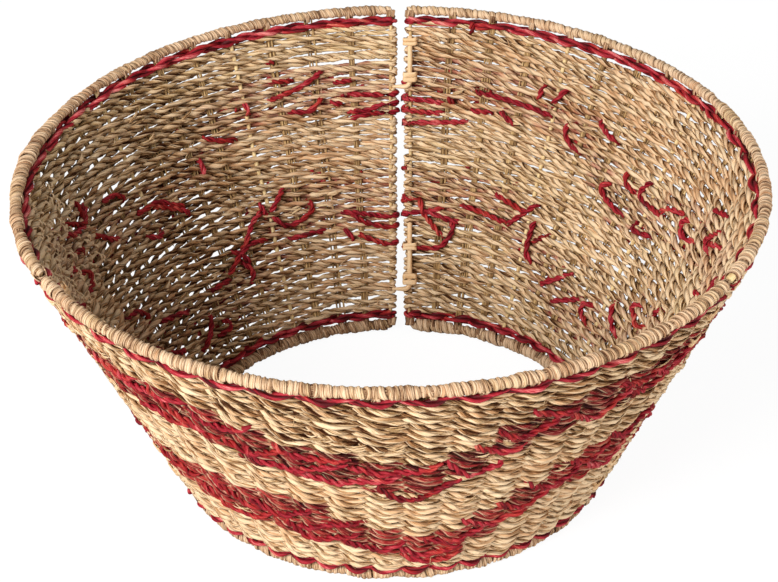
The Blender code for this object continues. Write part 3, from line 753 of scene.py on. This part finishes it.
def add_weft(panel, start, rng):
    """The woven wall: a cord that goes in and out of the stakes and turns round the edge stakes."""
    grid = (ROWS, BAYS + 1)
    red = red_floats(panel, rng)
    swing = WEFT_SWING * (1 + 0.10 * rng.standard_normal(grid))
    swing[:, (0, BAYS)] = EDGE_SWING
    swing[[near_pin_tip(row_rise(row)) for row in range(ROWS)], 0] = SWING_AT_TIP
    lift = WEFT_LIFT[panel] * rng.standard_normal(grid)
    lift[:, (1, 2, BAYS - 2, BAYS - 1)] *= 1.7
    thick = 1 + 0.10 * rng.standard_normal(grid)
    sag = np.zeros(grid)
    for _ in range(5):
        wave = rng.uniform(0.5, 2.2) * np.arange(BAYS + 1)[None] * 2 * math.pi / BAYS
        climb = rng.uniform(-0.16, 0.16) * np.arange(ROWS)[:, None]
        sag += WEFT_SAG * np.sin(wave + climb + rng.uniform(0, 2 * math.pi))
    tones = 0.5 + 0.3 * np.sin(np.cumsum(rng.uniform(-0.1, 0.1, ROWS)) * 5)
    for first, last, level in ((0, SPLIT_ROW, "lower"), (SPLIT_ROW, ROWS, "upper")):
        # Each ply gets painted shade where it touches the other ply, and painted highlights along its leaf
        # edges
        strands = Strands(6, rng, PLY_PROFILE, PLY_PAINTED_SHADING, PAINTED_LEAF_EDGES)
        parts = []
        for row in range(first, last):
            values = weft_row(row, swing[row], lift[row] + sag[row], thick[row], red[row], tones[row], rng)
            parts.append(values if row % 2 == 0 else values[:, ::-1])
            if row < last - 1:
                edge = 1 - row % 2
                parts.append(weft_turn(row, edge, values[1, -edge], swing[row, edge * BAYS]))
        share, rise, outward, across, dye, swell, shade, tone, way = np.concatenate(parts, axis=1)
        path = wall_places(start, share, rise, outward, across)
        _, facing, upward = wall_axes(start, share)
        full = np.interp(share, LOOK_SHARES, FULLNESS[panel])
        full = full + FULLER_ABOVE[panel] * (2 * rise / WALL_LENGTH - 1)
        edge_fit = np.clip(np.minimum(share, 1 - share) * BAYS * 3, 0, 1)
        size = np.minimum(swell, 1.25) * (0.92 + (full - 0.92) * edge_fit)
        # Painted light and shade: paler or darker across the panel, and paler towards the bottom
        shade = shade + np.interp(share, LOOK_SHARES, PAINTED_LIGHT_ACROSS[panel])
        shade = shade + PAINTED_LIGHT_BELOW[panel] * (1 - rise / WALL_LENGTH)
        strands.add_twisted(path, upward, "weft", size, shade, dye, tone, 0.1, facing, way)
        add_edge_turns(strands, start, range(first, last), rng)
        strands.make(panel, f"{level}_weft", "seagrass_weave", "woven_wall" if level == "lower" else None)


def add_edge_turns(strands, start, rows, rng):
    """Tucks round the edge stakes that fill the places between the turns of the weft."""
    turn = np.linspace(-0.62, 0.62, 9) * math.pi
    for row in rows:
        edge = row % 2
        rise = row_rise(row + 0.5)
        if rise > WALL_LENGTH - FIRST_ROW_RISE:
            continue
        reach = edge_reach(edge, rise) + 0.0002 * rng.standard_normal()
        across = AWAY[edge] * (reach * np.cos(turn) - 0.0004)
        outward = (TUCK_DEPTH_AT_TIP if not edge and near_pin_tip(rise) else TUCK_DEPTH) * np.sin(turn)
        slant = rng.uniform(-0.0009, 0.0009) * np.sin(turn)
        path = wall_places(start, edge, rise + slant, outward, across)
        strands.add_twisted(path, upward_at(start, edge), "tuck", rng.uniform(0.88, 1.0),
                            rng.uniform(0.42, 0.68), 0.0, rng.uniform(0.35, 0.65))


def add_stakes(panel, start, rng):
    """Rim rods and stakes: canes at every fourth place, bundles of thin stems at the others."""
    rods = Strands(12, rng)
    for level in ("bottom", "top"):
        radius, height = rim_circle(level)
        ends = []
        for side, end in enumerate(rim_ends(panel, start, level)):
            past = ROD_PAST_OPEN_END if (panel, level, side) == OPEN_RIM_END else -ROD_SHORT_OF_END
            ends.append(end + AWAY[side] * past / radius)
        azimuth = np.linspace(*ends, 90)
        path = np.stack((radius * np.cos(azimuth), radius * np.sin(azimuth), np.full(90, height)), -1)
        side, over = section_axes(path, np.array((0.0, 0.0, 1.0)))
        rods.add(path, side, over, ROD_RADIUS, ROD_RADIUS, shade=0.75)
    rods.make(panel, "rim_rods", "stake_rattan", "frame")
    stems = Strands(7, rng)
    rise = np.linspace(0.001, WALL_LENGTH - 0.001, 60)
    for stake in range(1, BAYS):
        share = stake / BAYS
        if stake % CANE_EVERY == 0:
            add_stem(stems, start, share, rise, 0.0, 0.0, CANE_RADIUS, rng, 0.78)
            continue
        count = rng.integers(3, 6)
        spread = STEM_SPREAD * rng.uniform(0.85, 1.2)
        for across in np.linspace(-spread / 2, spread / 2, count):
            add_stem(stems, start, share, rise, across, rng.uniform(-0.0004, 0.0004),
                     STEM_RADIUS * rng.uniform(0.7, 1.2), rng, rng.uniform(0.0, 0.55))
    stems.make(panel, "stakes", "stake_rattan")
    rise = np.linspace(EDGE_CANE_INSET, WALL_LENGTH - EDGE_CANE_INSET, 60)
    for node, share in (("catch_side_stake", 0), ("pin_side_stake", 1)):
        stick = Strands(9, rng)
        add_stem(stick, start, share, rise, 0.0, 0.0, EDGE_CANE_RADIUS, rng, 0.6)
        stick.make(panel, f"{node}_cane", "stake_rattan", node)


def add_stem(strands, start, share, rise, across, outward, radius, rng, shade):
    """A stem up the wall that wanders a little."""
    bend = 0.0006 * ripple(rng, rise, 0.11)
    path = wall_places(start, share, rise, outward + 0.3 * bend, across + bend)
    side, over = section_axes(path, outward_at(start, share))
    size = radius * (1 + 0.07 * ripple(rng, rise, 0.03))
    strands.add(path, side, over, size, size, shade, tone=rng.uniform(0.3, 0.7))


def rim_circle(level):
    """Radius and height of a rim's middle line."""
    if level == "bottom":
        return BOTTOM_RADIUS, FOOT_HEIGHT
    return TOP_RADIUS, FOOT_HEIGHT + RIM_HEIGHT


def rim_ends(panel, start, level):
    """Azimuths of the two ends of a rim's wrap."""
    radius, _ = rim_circle(level)
    back = WRAP_PAST_BACK_EDGE[level]
    return tuple(float(rim_angles(start, radius, share, back if panel == open_panel else WRAP_PAST_EDGE))
                 for share, open_panel in ((0.0, "left_back"), (1.0, "right_back")))


def rim_places(level, azimuth, around, half_through, half_along):
    """Places round a rim's oval section and the outward directions there."""
    radius, height = rim_circle(level)
    radial = np.stack((np.cos(azimuth), np.sin(azimuth), 0 * azimuth), -1)
    upright = np.array((0.0, 0.0, 1.0))
    through = radial * math.cos(LEAN_ANGLE) - upright * math.sin(LEAN_ANGLE)
    upward = radial * math.sin(LEAN_ANGLE) + upright * math.cos(LEAN_ANGLE)
    cosine, sine = np.cos(around)[:, None], np.sin(around)[:, None]
    half_through, half_along = half_through[:, None], half_along[:, None]
    path = radial * radius + upright * height + through * cosine * half_through + upward * sine * half_along
    return path, unit(through * cosine * half_along + upward * sine * half_through)


def add_rim_wrap(panel, start, level, rng):
    """A rim wound with turns of a few flat leaves: each turn has its own width, lean and height."""
    radius, _ = rim_circle(level)
    first, last = (end * radius for end in rim_ends(panel, start, level))
    widths = []
    while sum(widths) < last - first:
        widths.append(WRAP_TURN * rng.uniform(0.72, 1.35))
    widths = np.array(widths) * (last - first - WRAP_TURN) / sum(widths)
    count = len(widths)
    turns = np.arange(count * WRAP_STEPS + 1) / WRAP_STEPS
    turn = np.minimum(turns.astype(int), count - 1)
    edges = first + WRAP_TURN / 2 + np.concatenate(([0], np.cumsum(widths)))
    around = -2 * math.pi * turns
    lean = WRAP_TURN * (0.12 + 0.18 * ripple(rng, turns, 3.2))
    middle = edges[turn] + (turns - turn) * widths[turn] + lean * np.sin(around)
    middles = np.arange(count) + 0.5
    wide = np.interp(turns, middles, widths / WRAP_TURN)
    lump = 0.0005 * np.interp(turns, middles, rng.uniform(-1, 1, count)) + 0.0004 * ripple(rng, turns, 8.0)
    lump = WRAP_LUMPS[level] * lump
    if (panel, level) == ("left_back", "top"):
        off = (np.degrees(middle / radius) - BULGE_OF_LEFT_RIM) / BULGE_SPREAD
        lump = lump + BULGE_HEIGHT * np.exp(-off ** 2)
    to_first = turns if (panel, level, 0) != OPEN_RIM_END else turns + 2
    near_end = np.clip(np.minimum(to_first, count - turns) / 1.3, 0, 1)
    cap = np.maximum(np.sqrt(1 - (1 - near_end) ** 2), 0.12)
    # The rim's shade holds painted light and shade for its panel; the turns differ from it at random
    shade = RIM_SHADE_WITH_PAINTED_LIGHT[panel] + 0.16 * np.interp(turns, np.arange(count), rng.uniform(-1, 1, count))
    tone = 0.5 + 0.2 * ripple(rng, turns, 23.0)
    # Painted highlight on each leaf's outer face, and painted shade on its underside and the edges beside it
    painted_groove_shading = np.array((0.10, 0.0, -0.30, -0.45, -0.30, 0.0)) * WRAP_GROOVE_SHADE[panel]
    strands = Strands(6, rng, 1.0, painted_groove_shading, PAINTED_LEAF_EDGES)
    for leaf in range(WRAP_LEAVES):
        place = 2 * leaf / (WRAP_LEAVES - 1) - 1
        shift = WRAP_TURN * wide * (0.31 * place + 0.04 * ripple(rng, turns, 1.7))
        along = np.clip(middle + shift, first + 0.0009, last - 0.0009)
        height = lump + 0.0004 - 0.0006 * abs(place) + 0.0002 * ripple(rng, turns, 1.3)
        path, direction = rim_places(level, along / radius, around,
                                     cap * (WRAP_THROUGH - WRAP_LEAF_THICK + height),
                                     cap * (WRAP_ALONG[level] - WRAP_LEAF_THICK + 0.8 * height))
        side, over = section_axes(path, direction)
        leaf_wide = WRAP_LEAF_WIDE * wide * (1 + 0.15 * ripple(rng, turns, 2.3))
        # The sign of way puts the painted highlight in the middle of each turn and the painted shade at its
        # sides
        strands.add(path, over, side, WRAP_LEAF_THICK, leaf_wide, shade + rng.uniform(-0.05, 0.05),
                    0.0, tone, way=-place)
    # A darker lining under the turns, as painted shade that shows in the gaps between them
    azimuth = np.linspace(first + 0.004, last - 0.004, 120) / radius
    (middle_line, _), (_, through), (_, upward) = (
        rim_places(level, azimuth, *(np.full(120, value) for value in (angle, size, size)))
        for angle, size in ((0.0, 0.0), (0.0, 1.0), (math.pi / 2, 1.0)))
    shade_sleeve = Strands(12, rng, 1.0, -0.15)
    shade_sleeve.add(middle_line, through, upward, ROD_RADIUS + 0.0004, ROD_RADIUS + 0.0002)
    fit_to_floor(strands)
    fit_to_floor(shade_sleeve)
    node = f"{level}_rim_wrap"
    strands.make(panel, f"{node}_turns", "seagrass_wrap", node)
    shade_sleeve.make(panel, f"{node}_lining", "seagrass_wrap")


def add_rim_ties(panel, start, level, rng):
    """Leaf that is tied from the rim down each stake to the red cord, and round the corners."""
    # Painted shade and highlight round each tie's section and along its edges
    strands = Strands(6, rng, PLY_PROFILE, (0.1, 0.0, -0.1, -0.2, -0.1, 0.0), PAINTED_LEAF_EDGES)
    reach = np.linspace(0.0, RIM_CORD_TO_RIM[level] - TIE_SHORT, 7)
    rise = reach if level == "bottom" else WALL_LENGTH - reach
    for stake in range(BAYS + 1):
        share = stake / BAYS
        for side in (-1, 1):
            bow = side * (TIE_OFF_STAKE + TIE_OFF_MORE_AT_RIM * np.cos(reach / reach[-1] * math.pi / 2))
            at_edge = share in (0, 1)
            for across in np.linspace(-0.0026, 0.0026, 4) if at_edge else rng.uniform(-0.003, 0.003, 2):
                lean = rng.uniform(-0.0016, 0.0016) * reach / reach[-1]
                path = wall_places(start, share, rise, bow, across + lean)
                strands.add(path, *section_axes(path, outward_at(start, share)),
                            rng.uniform(0.0011, 0.0019), 0.0007, rng.uniform(0.35, 0.7), 0.0,
                            rng.uniform(0.3, 0.7))
    turn = np.linspace(-1, 1, 15) * math.pi
    for edge in (0, 1):
        for height in (0.0050, 0.0066):
            rise = height if level == "bottom" else WALL_LENGTH - height
            path = wall_places(start, edge, rise + 0.0008 * np.sin(turn + rng.uniform(0, 6)),
                               0.0032 * np.sin(turn), 0.0034 * np.cos(turn))
            strands.add(path, *section_axes(path, upward_at(start, edge)), 0.0008, 0.0012,
                        rng.uniform(0.25, 0.5))
    fit_to_floor(strands)
    strands.make(panel, f"{level}_rim_ties", "seagrass_wrap")


def fit_to_floor(strands):
    """Press whatever would reach below the floor flat on it."""
    for points in strands.points:
        points[:, 2] = np.maximum(points[:, 2], 0.0)


def add_rim_cord(panel, start, level, rng):
    """A pair of red cords twined round the stakes beside a rim."""
    rise = RIM_CORD_TO_RIM[level] if level == "bottom" else WALL_LENGTH - RIM_CORD_TO_RIM[level]
    places = np.linspace(-0.02, BAYS + 0.02, BAYS * 12 + 1)
    # Painted highlight on the outer side of each ply and painted shade where the plies touch
    strands = Strands(8, rng, (1.08, 0.94, 0.9, 0.95, 1.0, 0.95, 0.9, 0.94),
                      (0.15, 0.0, -0.2, -0.45, -0.6, -0.45, -0.2, 0.0))
    for sign in (1, -1):
        wave = sign * np.cos(math.pi * places)
        lift = sign * RIM_CORD_LIFT * np.sin(math.pi * places) + 0.0004 * ripple(rng, places, 3.0)
        path = wall_places(start, places / BAYS, rise + lift, RIM_CORD_SWING * wave)
        full = RIM_CORD_FULLNESS[panel] + 0.38 * np.abs(np.cos(math.pi * places)) ** 2
        strands.add_twisted(path, upward_at(start, places / BAYS), "rim", full,
                            0.58 + 0.2 * ripple(rng, places, 1.5), 1.0,
                            0.42 + 0.15 * ripple(rng, places, 3.0))
    turn = np.linspace(-0.7, 0.7, 13) * math.pi
    for edge in (0, 1):
        across = AWAY[edge] * (RIM_CORD_REACH * np.cos(turn) - 0.0003)
        path = wall_places(start, edge, rise + 0.0008 * np.sin(turn), RIM_CORD_REACH * np.sin(turn), across)
        strands.add_twisted(path, upward_at(start, edge), "rim_turn", 1.0, 0.6, 1.0, 0.5)
    node = f"{level}_red_cord"
    strands.make(panel, f"{node}_pair", "red_cord", node)


def cord_on_wall(strands, start, route, side, rng, height, scale, longer=0.0):
    """Lay a red two-ply cord on the wall along a route of (azimuth, rise); its ends go into the weave."""
    rises = [rise / 1000 for _, rise in route]
    mean_radius = sum(wall_radius(rise) for rise in rises) / len(rises)
    flat = np.array([(share_at(start, degrees + CAMERA_TURN, rise) * PANEL_ANGLE * mean_radius, rise)
                     for (degrees, _), rise in zip(route, rises)])
    flat[[0, -1]] += longer * unit(flat[[0, -1]] - flat[[1, -2]])
    flat = smooth_route(flat, 0.0018)
    share, rise = flat[:, 0] / (PANEL_ANGLE * mean_radius), flat[:, 1]
    along = lengths_along(flat)
    at_edges = [bool(min(abs(end), abs(1 - end)) < NEAR_EDGE_SHARE) for end in (share[0], share[-1])]
    near_start = np.full(len(along), 1.0) if at_edges[0] else along
    near_last = np.full(len(along), 1.0) if at_edges[1] else along[-1] - along
    dive = np.clip(np.minimum(near_start, near_last) / DIVE_LENGTH, 0, 1)
    dive = dive * dive * (3 - 2 * dive)
    bulge = 0.5 + 0.5 * np.cos(2 * math.pi * share * BAYS)
    depth = DIVE_DEPTH + (height - DIVE_DEPTH + 0.0014 * bulge) * dive
    depth = side * (depth + 0.0003 * ripple(rng, along, 0.02))
    path = wall_places(start, share, rise, depth)
    turn = np.linspace(0, 0.85, 9) * math.pi
    for end in (0, -1):
        if not at_edges[end]:
            continue
        edge = round(float(share[end]))
        inner = np.abs(share - edge) > 0.004

        def extended(values, added):
            """The values away from the edge, with those of the turn round the stake at this end."""
            return np.concatenate((values[inner], added) if end else (added[::-1], values[inner]))

        around = wall_places(start, edge, rise[end] + 0.003 * turn / math.pi, depth[end] * np.cos(turn),
                             AWAY[edge] * EDGE_TURN_REACH * np.sin(turn))
        path = extended(path, around)
        rise, depth, share = (extended(values, np.full(9, value)) for values, value in
                              ((rise, rise[end]), (depth, depth[end]), (share, float(edge))))
    along = lengths_along(path)
    strands.add_twisted(path, outward_at(start, share), "red", scale,
                        0.5 + rng.uniform(-0.15, 0.15) + 0.1 * ripple(rng, along, 0.02), 1.0,
                        0.5 + rng.uniform(-0.15, 0.2) + 0.12 * ripple(rng, along, 0.05))


def mirrored(routes, start_degrees):
    """The same routes on the panel, seen in a mirror about its middle."""
    return [[(2 * (start_degrees + 60) - degrees, rise) for degrees, rise in route] for route in routes]


def turned(routes, angle, rng, jitter=0.0):
    """The same routes, turned by an angle and each corner moved a little."""
    return [[(degrees + angle + rng.uniform(-jitter, jitter), rise + 1.5 * rng.uniform(-jitter, jitter))
             for degrees, rise in route] for route in routes]


def add_red_work(panel, start_degrees, rng):
    """Red cords on the bands outside, and the stitches that they leave inside."""
    start = math.radians(start_degrees)
    outer = OUTER_ROUTES
    if panel == "left_back":
        outer = mirrored(outer, PANEL_STARTS["front"])
    if panel != "front":
        outer = turned(outer, start_degrees - PANEL_STARTS["front"], rng, ROUTE_JITTER)
    strands = Strands(8, rng)
    for route in outer:
        cord_on_wall(strands, start, route, 1, rng, BAND_CORD_HEIGHT, BAND_CORD_SCALE, BAND_CORD_LONGER)
    strands.make(panel, "band_cords", "red_cord")
    if panel == "front":
        other_start = PANEL_STARTS["right_back"]
        inner = turned(mirrored(INNER_ROUTES["right_back"], other_start), start_degrees - other_start, rng)
        inner = [route for index, route in enumerate(inner) if index % 7 != 3]
    else:
        inner = INNER_ROUTES[panel]
    strands = Strands(8, rng)
    for route in inner:
        cord_on_wall(strands, start, route, -1, rng, STITCH_HEIGHT, STITCH_SCALE)
    strands.make(panel, "stitches", "red_cord")


def joint_axes(start):
    """Origin and axes of the joint at a panel's pin side: X clockwise, Y outward, Z up the wall."""
    azimuth = start + PANEL_ANGLE
    outward_flat = np.array((math.cos(azimuth), math.sin(azimuth), 0.0))
    clockwise = np.array((math.sin(azimuth), -math.cos(azimuth), 0.0))
    upright = np.array((0.0, 0.0, 1.0))
    along = outward_flat * math.sin(LEAN_ANGLE) + upright * math.cos(LEAN_ANGLE)
    normal = outward_flat * math.cos(LEAN_ANGLE) - upright * math.sin(LEAN_ANGLE)
    origin = outward_flat * BOTTOM_RADIUS + upright * FOOT_HEIGHT
    return origin, np.stack((clockwise, normal, along))


def add_pins(panel, start, rng):
    """Bent pins of thin rattan, and the straps that hold them."""
    origin, axes = joint_axes(start)
    bend_end = STAKE_OFFSET - PIN_BEND_RADIUS
    tip_across = STAKE_OFFSET + PIN_TIP_ACROSS
    for pin, sizes in PINS.items():
        points = [(STAKE_OFFSET, -PIN_INWARD, rise) for rise in
                  np.linspace(sizes["top"], sizes["arm"] + PIN_BEND_RADIUS, 14)]
        for turn in np.linspace(0, math.pi / 2, 7)[1:]:
            points.append((STAKE_OFFSET - PIN_BEND_RADIUS * (1 - math.cos(turn)), -PIN_INWARD,
                           sizes["arm"] + PIN_BEND_RADIUS * (1 - math.sin(turn))))
        for share in np.linspace(0, 1, 8)[1:]:
            points.append((bend_end + (tip_across - bend_end) * share,
                           -PIN_INWARD + PIN_TIP_INWARD * share, sizes["arm"]))
        path = origin + np.array(points) @ axes
        radius = np.full(len(path), PIN_RADIUS)
        radius[-8:] = np.linspace(PIN_RADIUS, PIN_TIP_RADIUS, 8)
        radius = radius * (1 + 0.02 * ripple(rng, lengths_along(path), 0.03))
        strands = Strands(14, rng)
        strands.add(path, *section_axes(path, axes[1]), radius, radius, 0.55)
        strands.make(panel, f"{pin}_cane", "pin_rattan", pin, pin)
        for level, (rise, width) in sizes["loops"].items():
            add_loop(panel, f"{pin}_{level}_loop", origin, axes, rise, width, rng)


def add_loop(panel, node, origin, axes, rise, width, rng):
    """A strap of split rattan, wound twice round the pin and the wall's edge."""
    half = LOOP_THICKNESS / 2
    low_x, high_x = STAKE_OFFSET - LOOP_HALF_INSIDE - half, STAKE_OFFSET + LOOP_HALF_INSIDE + half
    low_y, high_y = LOOP_INNER_SIDE - half, LOOP_HALF_INSIDE + half
    centres = ((high_x - LOOP_CORNER, high_y - LOOP_CORNER), (low_x + LOOP_CORNER, high_y - LOOP_CORNER),
               (low_x + LOOP_CORNER, low_y + LOOP_CORNER), (high_x - LOOP_CORNER, low_y + LOOP_CORNER))
    outline = []
    for quarter, (centre_x, centre_y) in enumerate(centres):
        for turn in np.linspace(quarter, quarter + 1, 7) * math.pi / 2:
            outline.append((centre_x + LOOP_CORNER * math.cos(turn),
                            centre_y + LOOP_CORNER * math.sin(turn), 0))
    outline = np.array(outline + outline[:2])
    outline[:, 2] = rise + np.linspace(-0.0004, 0.0004, len(outline))
    strands = Strands(10, rng)
    for shift in (-width / 4, width / 4):
        turn_line = outline.copy()
        turn_line[:, 2] += shift + 0.0004 * ripple(rng, np.arange(len(outline)) * 1.0, 14.0)
        path = origin + turn_line @ axes
        strands.add(path, *section_axes(path, axes[2]), half * 0.92, width / 4 * 1.02, rng.uniform(0.35, 0.6))
    strands.make(panel, f"{node}_strap", "pin_rattan", node)


def lay_leaf(strands, start, share, rise, across, up, out, wide, thick, shade, tone):
    """Lay a flat leaf on the wall, by a place and the distances of its points from there."""
    path = wall_places(start, share + across / (wall_radius(rise) * PANEL_ANGLE), rise + up, out)
    strands.add(path, *section_axes(path, outward_at(start, share)), wide, thick, shade, 0.0, tone)


def add_loose_ends(panel, start, rng):
    """Short dry ends and wisps that stand out of the weave."""
    strands = Strands(4, rng)
    steps = np.linspace(0, 1, 6)
    for _ in range(LOOSE_ENDS):
        share, rise = rng.uniform(0.02, 0.98), rng.uniform(0.02, WALL_LENGTH - 0.02)
        side = rng.choice((-1, 1))
        length, heading = rng.uniform(0.005, 0.014), rng.uniform(0, 2 * math.pi)
        out = side * (0.0035 + 0.45 * length * steps ** 1.5 * rng.uniform(0.2, 1.0))
        taper = (1 - 0.75 * steps) * rng.uniform(0.5, 1.2)
        lay_leaf(strands, start, share, rise, length * np.cos(heading) * steps,
                 0.6 * length * np.sin(heading) * steps, out, 0.0006 * taper, 0.0002 * taper,
                 rng.uniform(0.4, 0.95), rng.uniform(0.2, 0.8))
    strands.make(panel, "loose_ends", "seagrass_weave")


def add_knot(strands, start, share, rise, rng):
    """A pale turn of leaf that stands up from the inner face where a ply is folded over."""
    steps = np.linspace(-0.5, 0.5, 7)
    heading, length = rng.uniform(0.7, 2.2), rng.uniform(0.0055, 0.0095)
    out = -(0.0058 + 0.0006 * rng.uniform(-1, 1) - 0.010 * steps ** 2)
    taper = np.clip(1 - (2 * np.abs(steps)) ** 4, 0.25, 1)
    across, up = length * math.cos(heading) * steps, length * math.sin(heading) * steps
    lay_leaf(strands, start, share, rise, across, up, out, rng.uniform(0.0010, 0.0015) * taper,
             0.0008 * taper, rng.uniform(0.95, 1.60), rng.uniform(0.3, 0.7))


def add_splices(panel, start, rng):
    """Flat leaf ends that lie on the wall where a new leaf was twisted in."""
    strands = Strands(6, rng, (1.0, 0.8, 0.8, 1.0, 0.8, 0.8))
    places = [(rng.uniform(0.05, 0.95), rng.uniform(0.03, 0.265), rng.choice((-1, 1)), 3)
              for _ in range(SPLICES)]
    if panel == "front":
        places += [(float(share_at(start, azimuth + CAMERA_TURN, rise)), rise, 1, 7)
                   for azimuth, rise in FRONT_SPLICES]
    knots = [(rng.uniform(0.68, 0.97), rng.uniform(0.175, 0.268)) for _ in range(KNOTS[panel])]
    for share, rise in knots:
        add_knot(strands, start, share, rise, rng)
    steps = np.linspace(-0.5, 0.5, 9)
    taper = np.clip(1 - (2 * np.abs(steps)) ** 3, 0.12, 1)
    for share, rise, side, count in places:
        for _ in range(count):
            length, heading = rng.uniform(0.010, 0.021), rng.uniform(-0.5, 0.5)
            middle = rng.uniform(-0.004, 0.004, 2)
            across = middle[0] + length * math.cos(heading) * steps
            up = middle[1] + 0.7 * length * math.sin(heading) * steps
            up = up + 0.003 * rng.uniform(-1, 1) * steps ** 2
            out = side * (0.0060 + 0.0007 * rng.uniform(-1, 1) - 0.008 * steps ** 2)
            lay_leaf(strands, start, share, rise, across, up, out, rng.uniform(0.0009, 0.0016) * taper,
                     0.00045 * taper, rng.uniform(0.35, 0.75), rng.uniform(0.3, 0.7))
    strands.make(panel, "splices", "seagrass_weave")


def add_panel(panel, start_degrees):
    """All pieces of a panel. The order of the calls is the order of the random draws."""
    rng = np.random.default_rng(SEED + start_degrees)
    start = math.radians(start_degrees)
    add_weft(panel, start, rng)
    add_stakes(panel, start, rng)
    for level in ("bottom", "top"):
        add_rim_wrap(panel, start, level, rng)
        add_rim_ties(panel, start, level, rng)
        add_rim_cord(panel, start, level, rng)
    add_red_work(panel, start_degrees, rng)
    add_pins(panel, start, rng)
    add_loose_ends(panel, start, rng)
    add_splices(panel, start, rng)


def choose_for_camera(tree, for_light, for_camera, output):
    """Show one shader to the camera and light the scene with the other."""
    choice = tree.nodes.new("ShaderNodeMixShader")
    seen = tree.nodes.new("ShaderNodeLightPath").outputs["Is Camera Ray"]
    for place, source in enumerate((seen, for_light, for_camera)):
        tree.links.new(source, choice.inputs[place])
    tree.links.new(choice.outputs[0], tree.nodes[output].inputs["Surface"])


def add_floor():
    """A white floor that keeps the object's shadow."""
    bpy.ops.mesh.primitive_plane_add(size=FLOOR_SIZE)
    floor = bpy.context.object
    floor.name = "floor"
    nodes = Nodes("white_floor")
    matt, shadow = (nodes.add("ShaderNodeBsdfDiffuse", Color=(grey, grey, grey, 1))
                    for grey in (FLOOR_GREY, SHADOW_GREY))
    glow = nodes.add("ShaderNodeEmission", Color=(1, 1, 1, 1), Strength=FLOOR_GLOW)
    both = nodes.add("ShaderNodeAddShader")
    nodes.feed(both.node.inputs[0], shadow)
    nodes.feed(both.node.inputs[1], glow)
    choose_for_camera(nodes.tree, matt, both, "Material Output")
    floor.data.materials.append(nodes.material)


def add_world():
    """Soft white surroundings: plain for the camera, dimmer as light."""
    world = bpy.data.worlds.new("studio")
    bpy.context.scene.world = world
    world.use_nodes = True
    tree = world.node_tree
    background = tree.nodes["Background"]
    background.inputs["Color"].default_value = (1, 1, 1, 1)
    background.inputs["Strength"].default_value = WORLD_LIGHT
    seen = tree.nodes.new("ShaderNodeBackground")
    seen.inputs["Strength"].default_value = 1.0
    choose_for_camera(tree, background.outputs[0], seen.outputs[0], "World Output")


def add_lamp(name, place, size, level):
    """A square soft box that lights a plain surface at the object to the given level."""
    data = bpy.data.lights.new(name, "AREA")
    data.shape = "SQUARE"
    data.size = size
    place = Vector(place)
    data.energy = level * math.pi ** 2 * (place - OBJECT_MIDDLE).length_squared
    lamp = bpy.data.objects.new(name, data)
    lamp.location = place
    lamp.rotation_euler = (OBJECT_MIDDLE - place).to_track_quat("-Z", "Y").to_euler()
    bpy.context.scene.collection.objects.link(lamp)


def add_camera():
    """The camera of the photograph."""
    data = bpy.data.cameras.new("camera")
    data.lens = LENS
    camera = bpy.data.objects.new("camera", data)
    turn = Matrix.Rotation(math.radians(CAMERA_TURN), 3, "Z")
    back = turn @ Vector((0, -math.cos(CAMERA_ELEVATION), math.sin(CAMERA_ELEVATION)))
    camera.location = OBJECT_MIDDLE + back * CAMERA_DISTANCE
    facing = (turn @ CAMERA_AIM - camera.location).to_track_quat("-Z", "Y").to_matrix()
    camera.rotation_euler = (facing @ Matrix.Rotation(math.radians(CAMERA_ROLL), 3, "Z")).to_euler()
    bpy.context.scene.collection.objects.link(camera)
    bpy.context.scene.camera = camera


for panel_name, panel_start in PANEL_STARTS.items():
    add_panel(panel_name, panel_start)
add_floor()
add_world()
for lamp_name, (lamp_place, lamp_size, lamp_level) in LAMPS.items():
    add_lamp(lamp_name, lamp_place, lamp_size, lamp_level)
add_camera()
bpy.context.scene.view_settings.view_transform = "Standard"
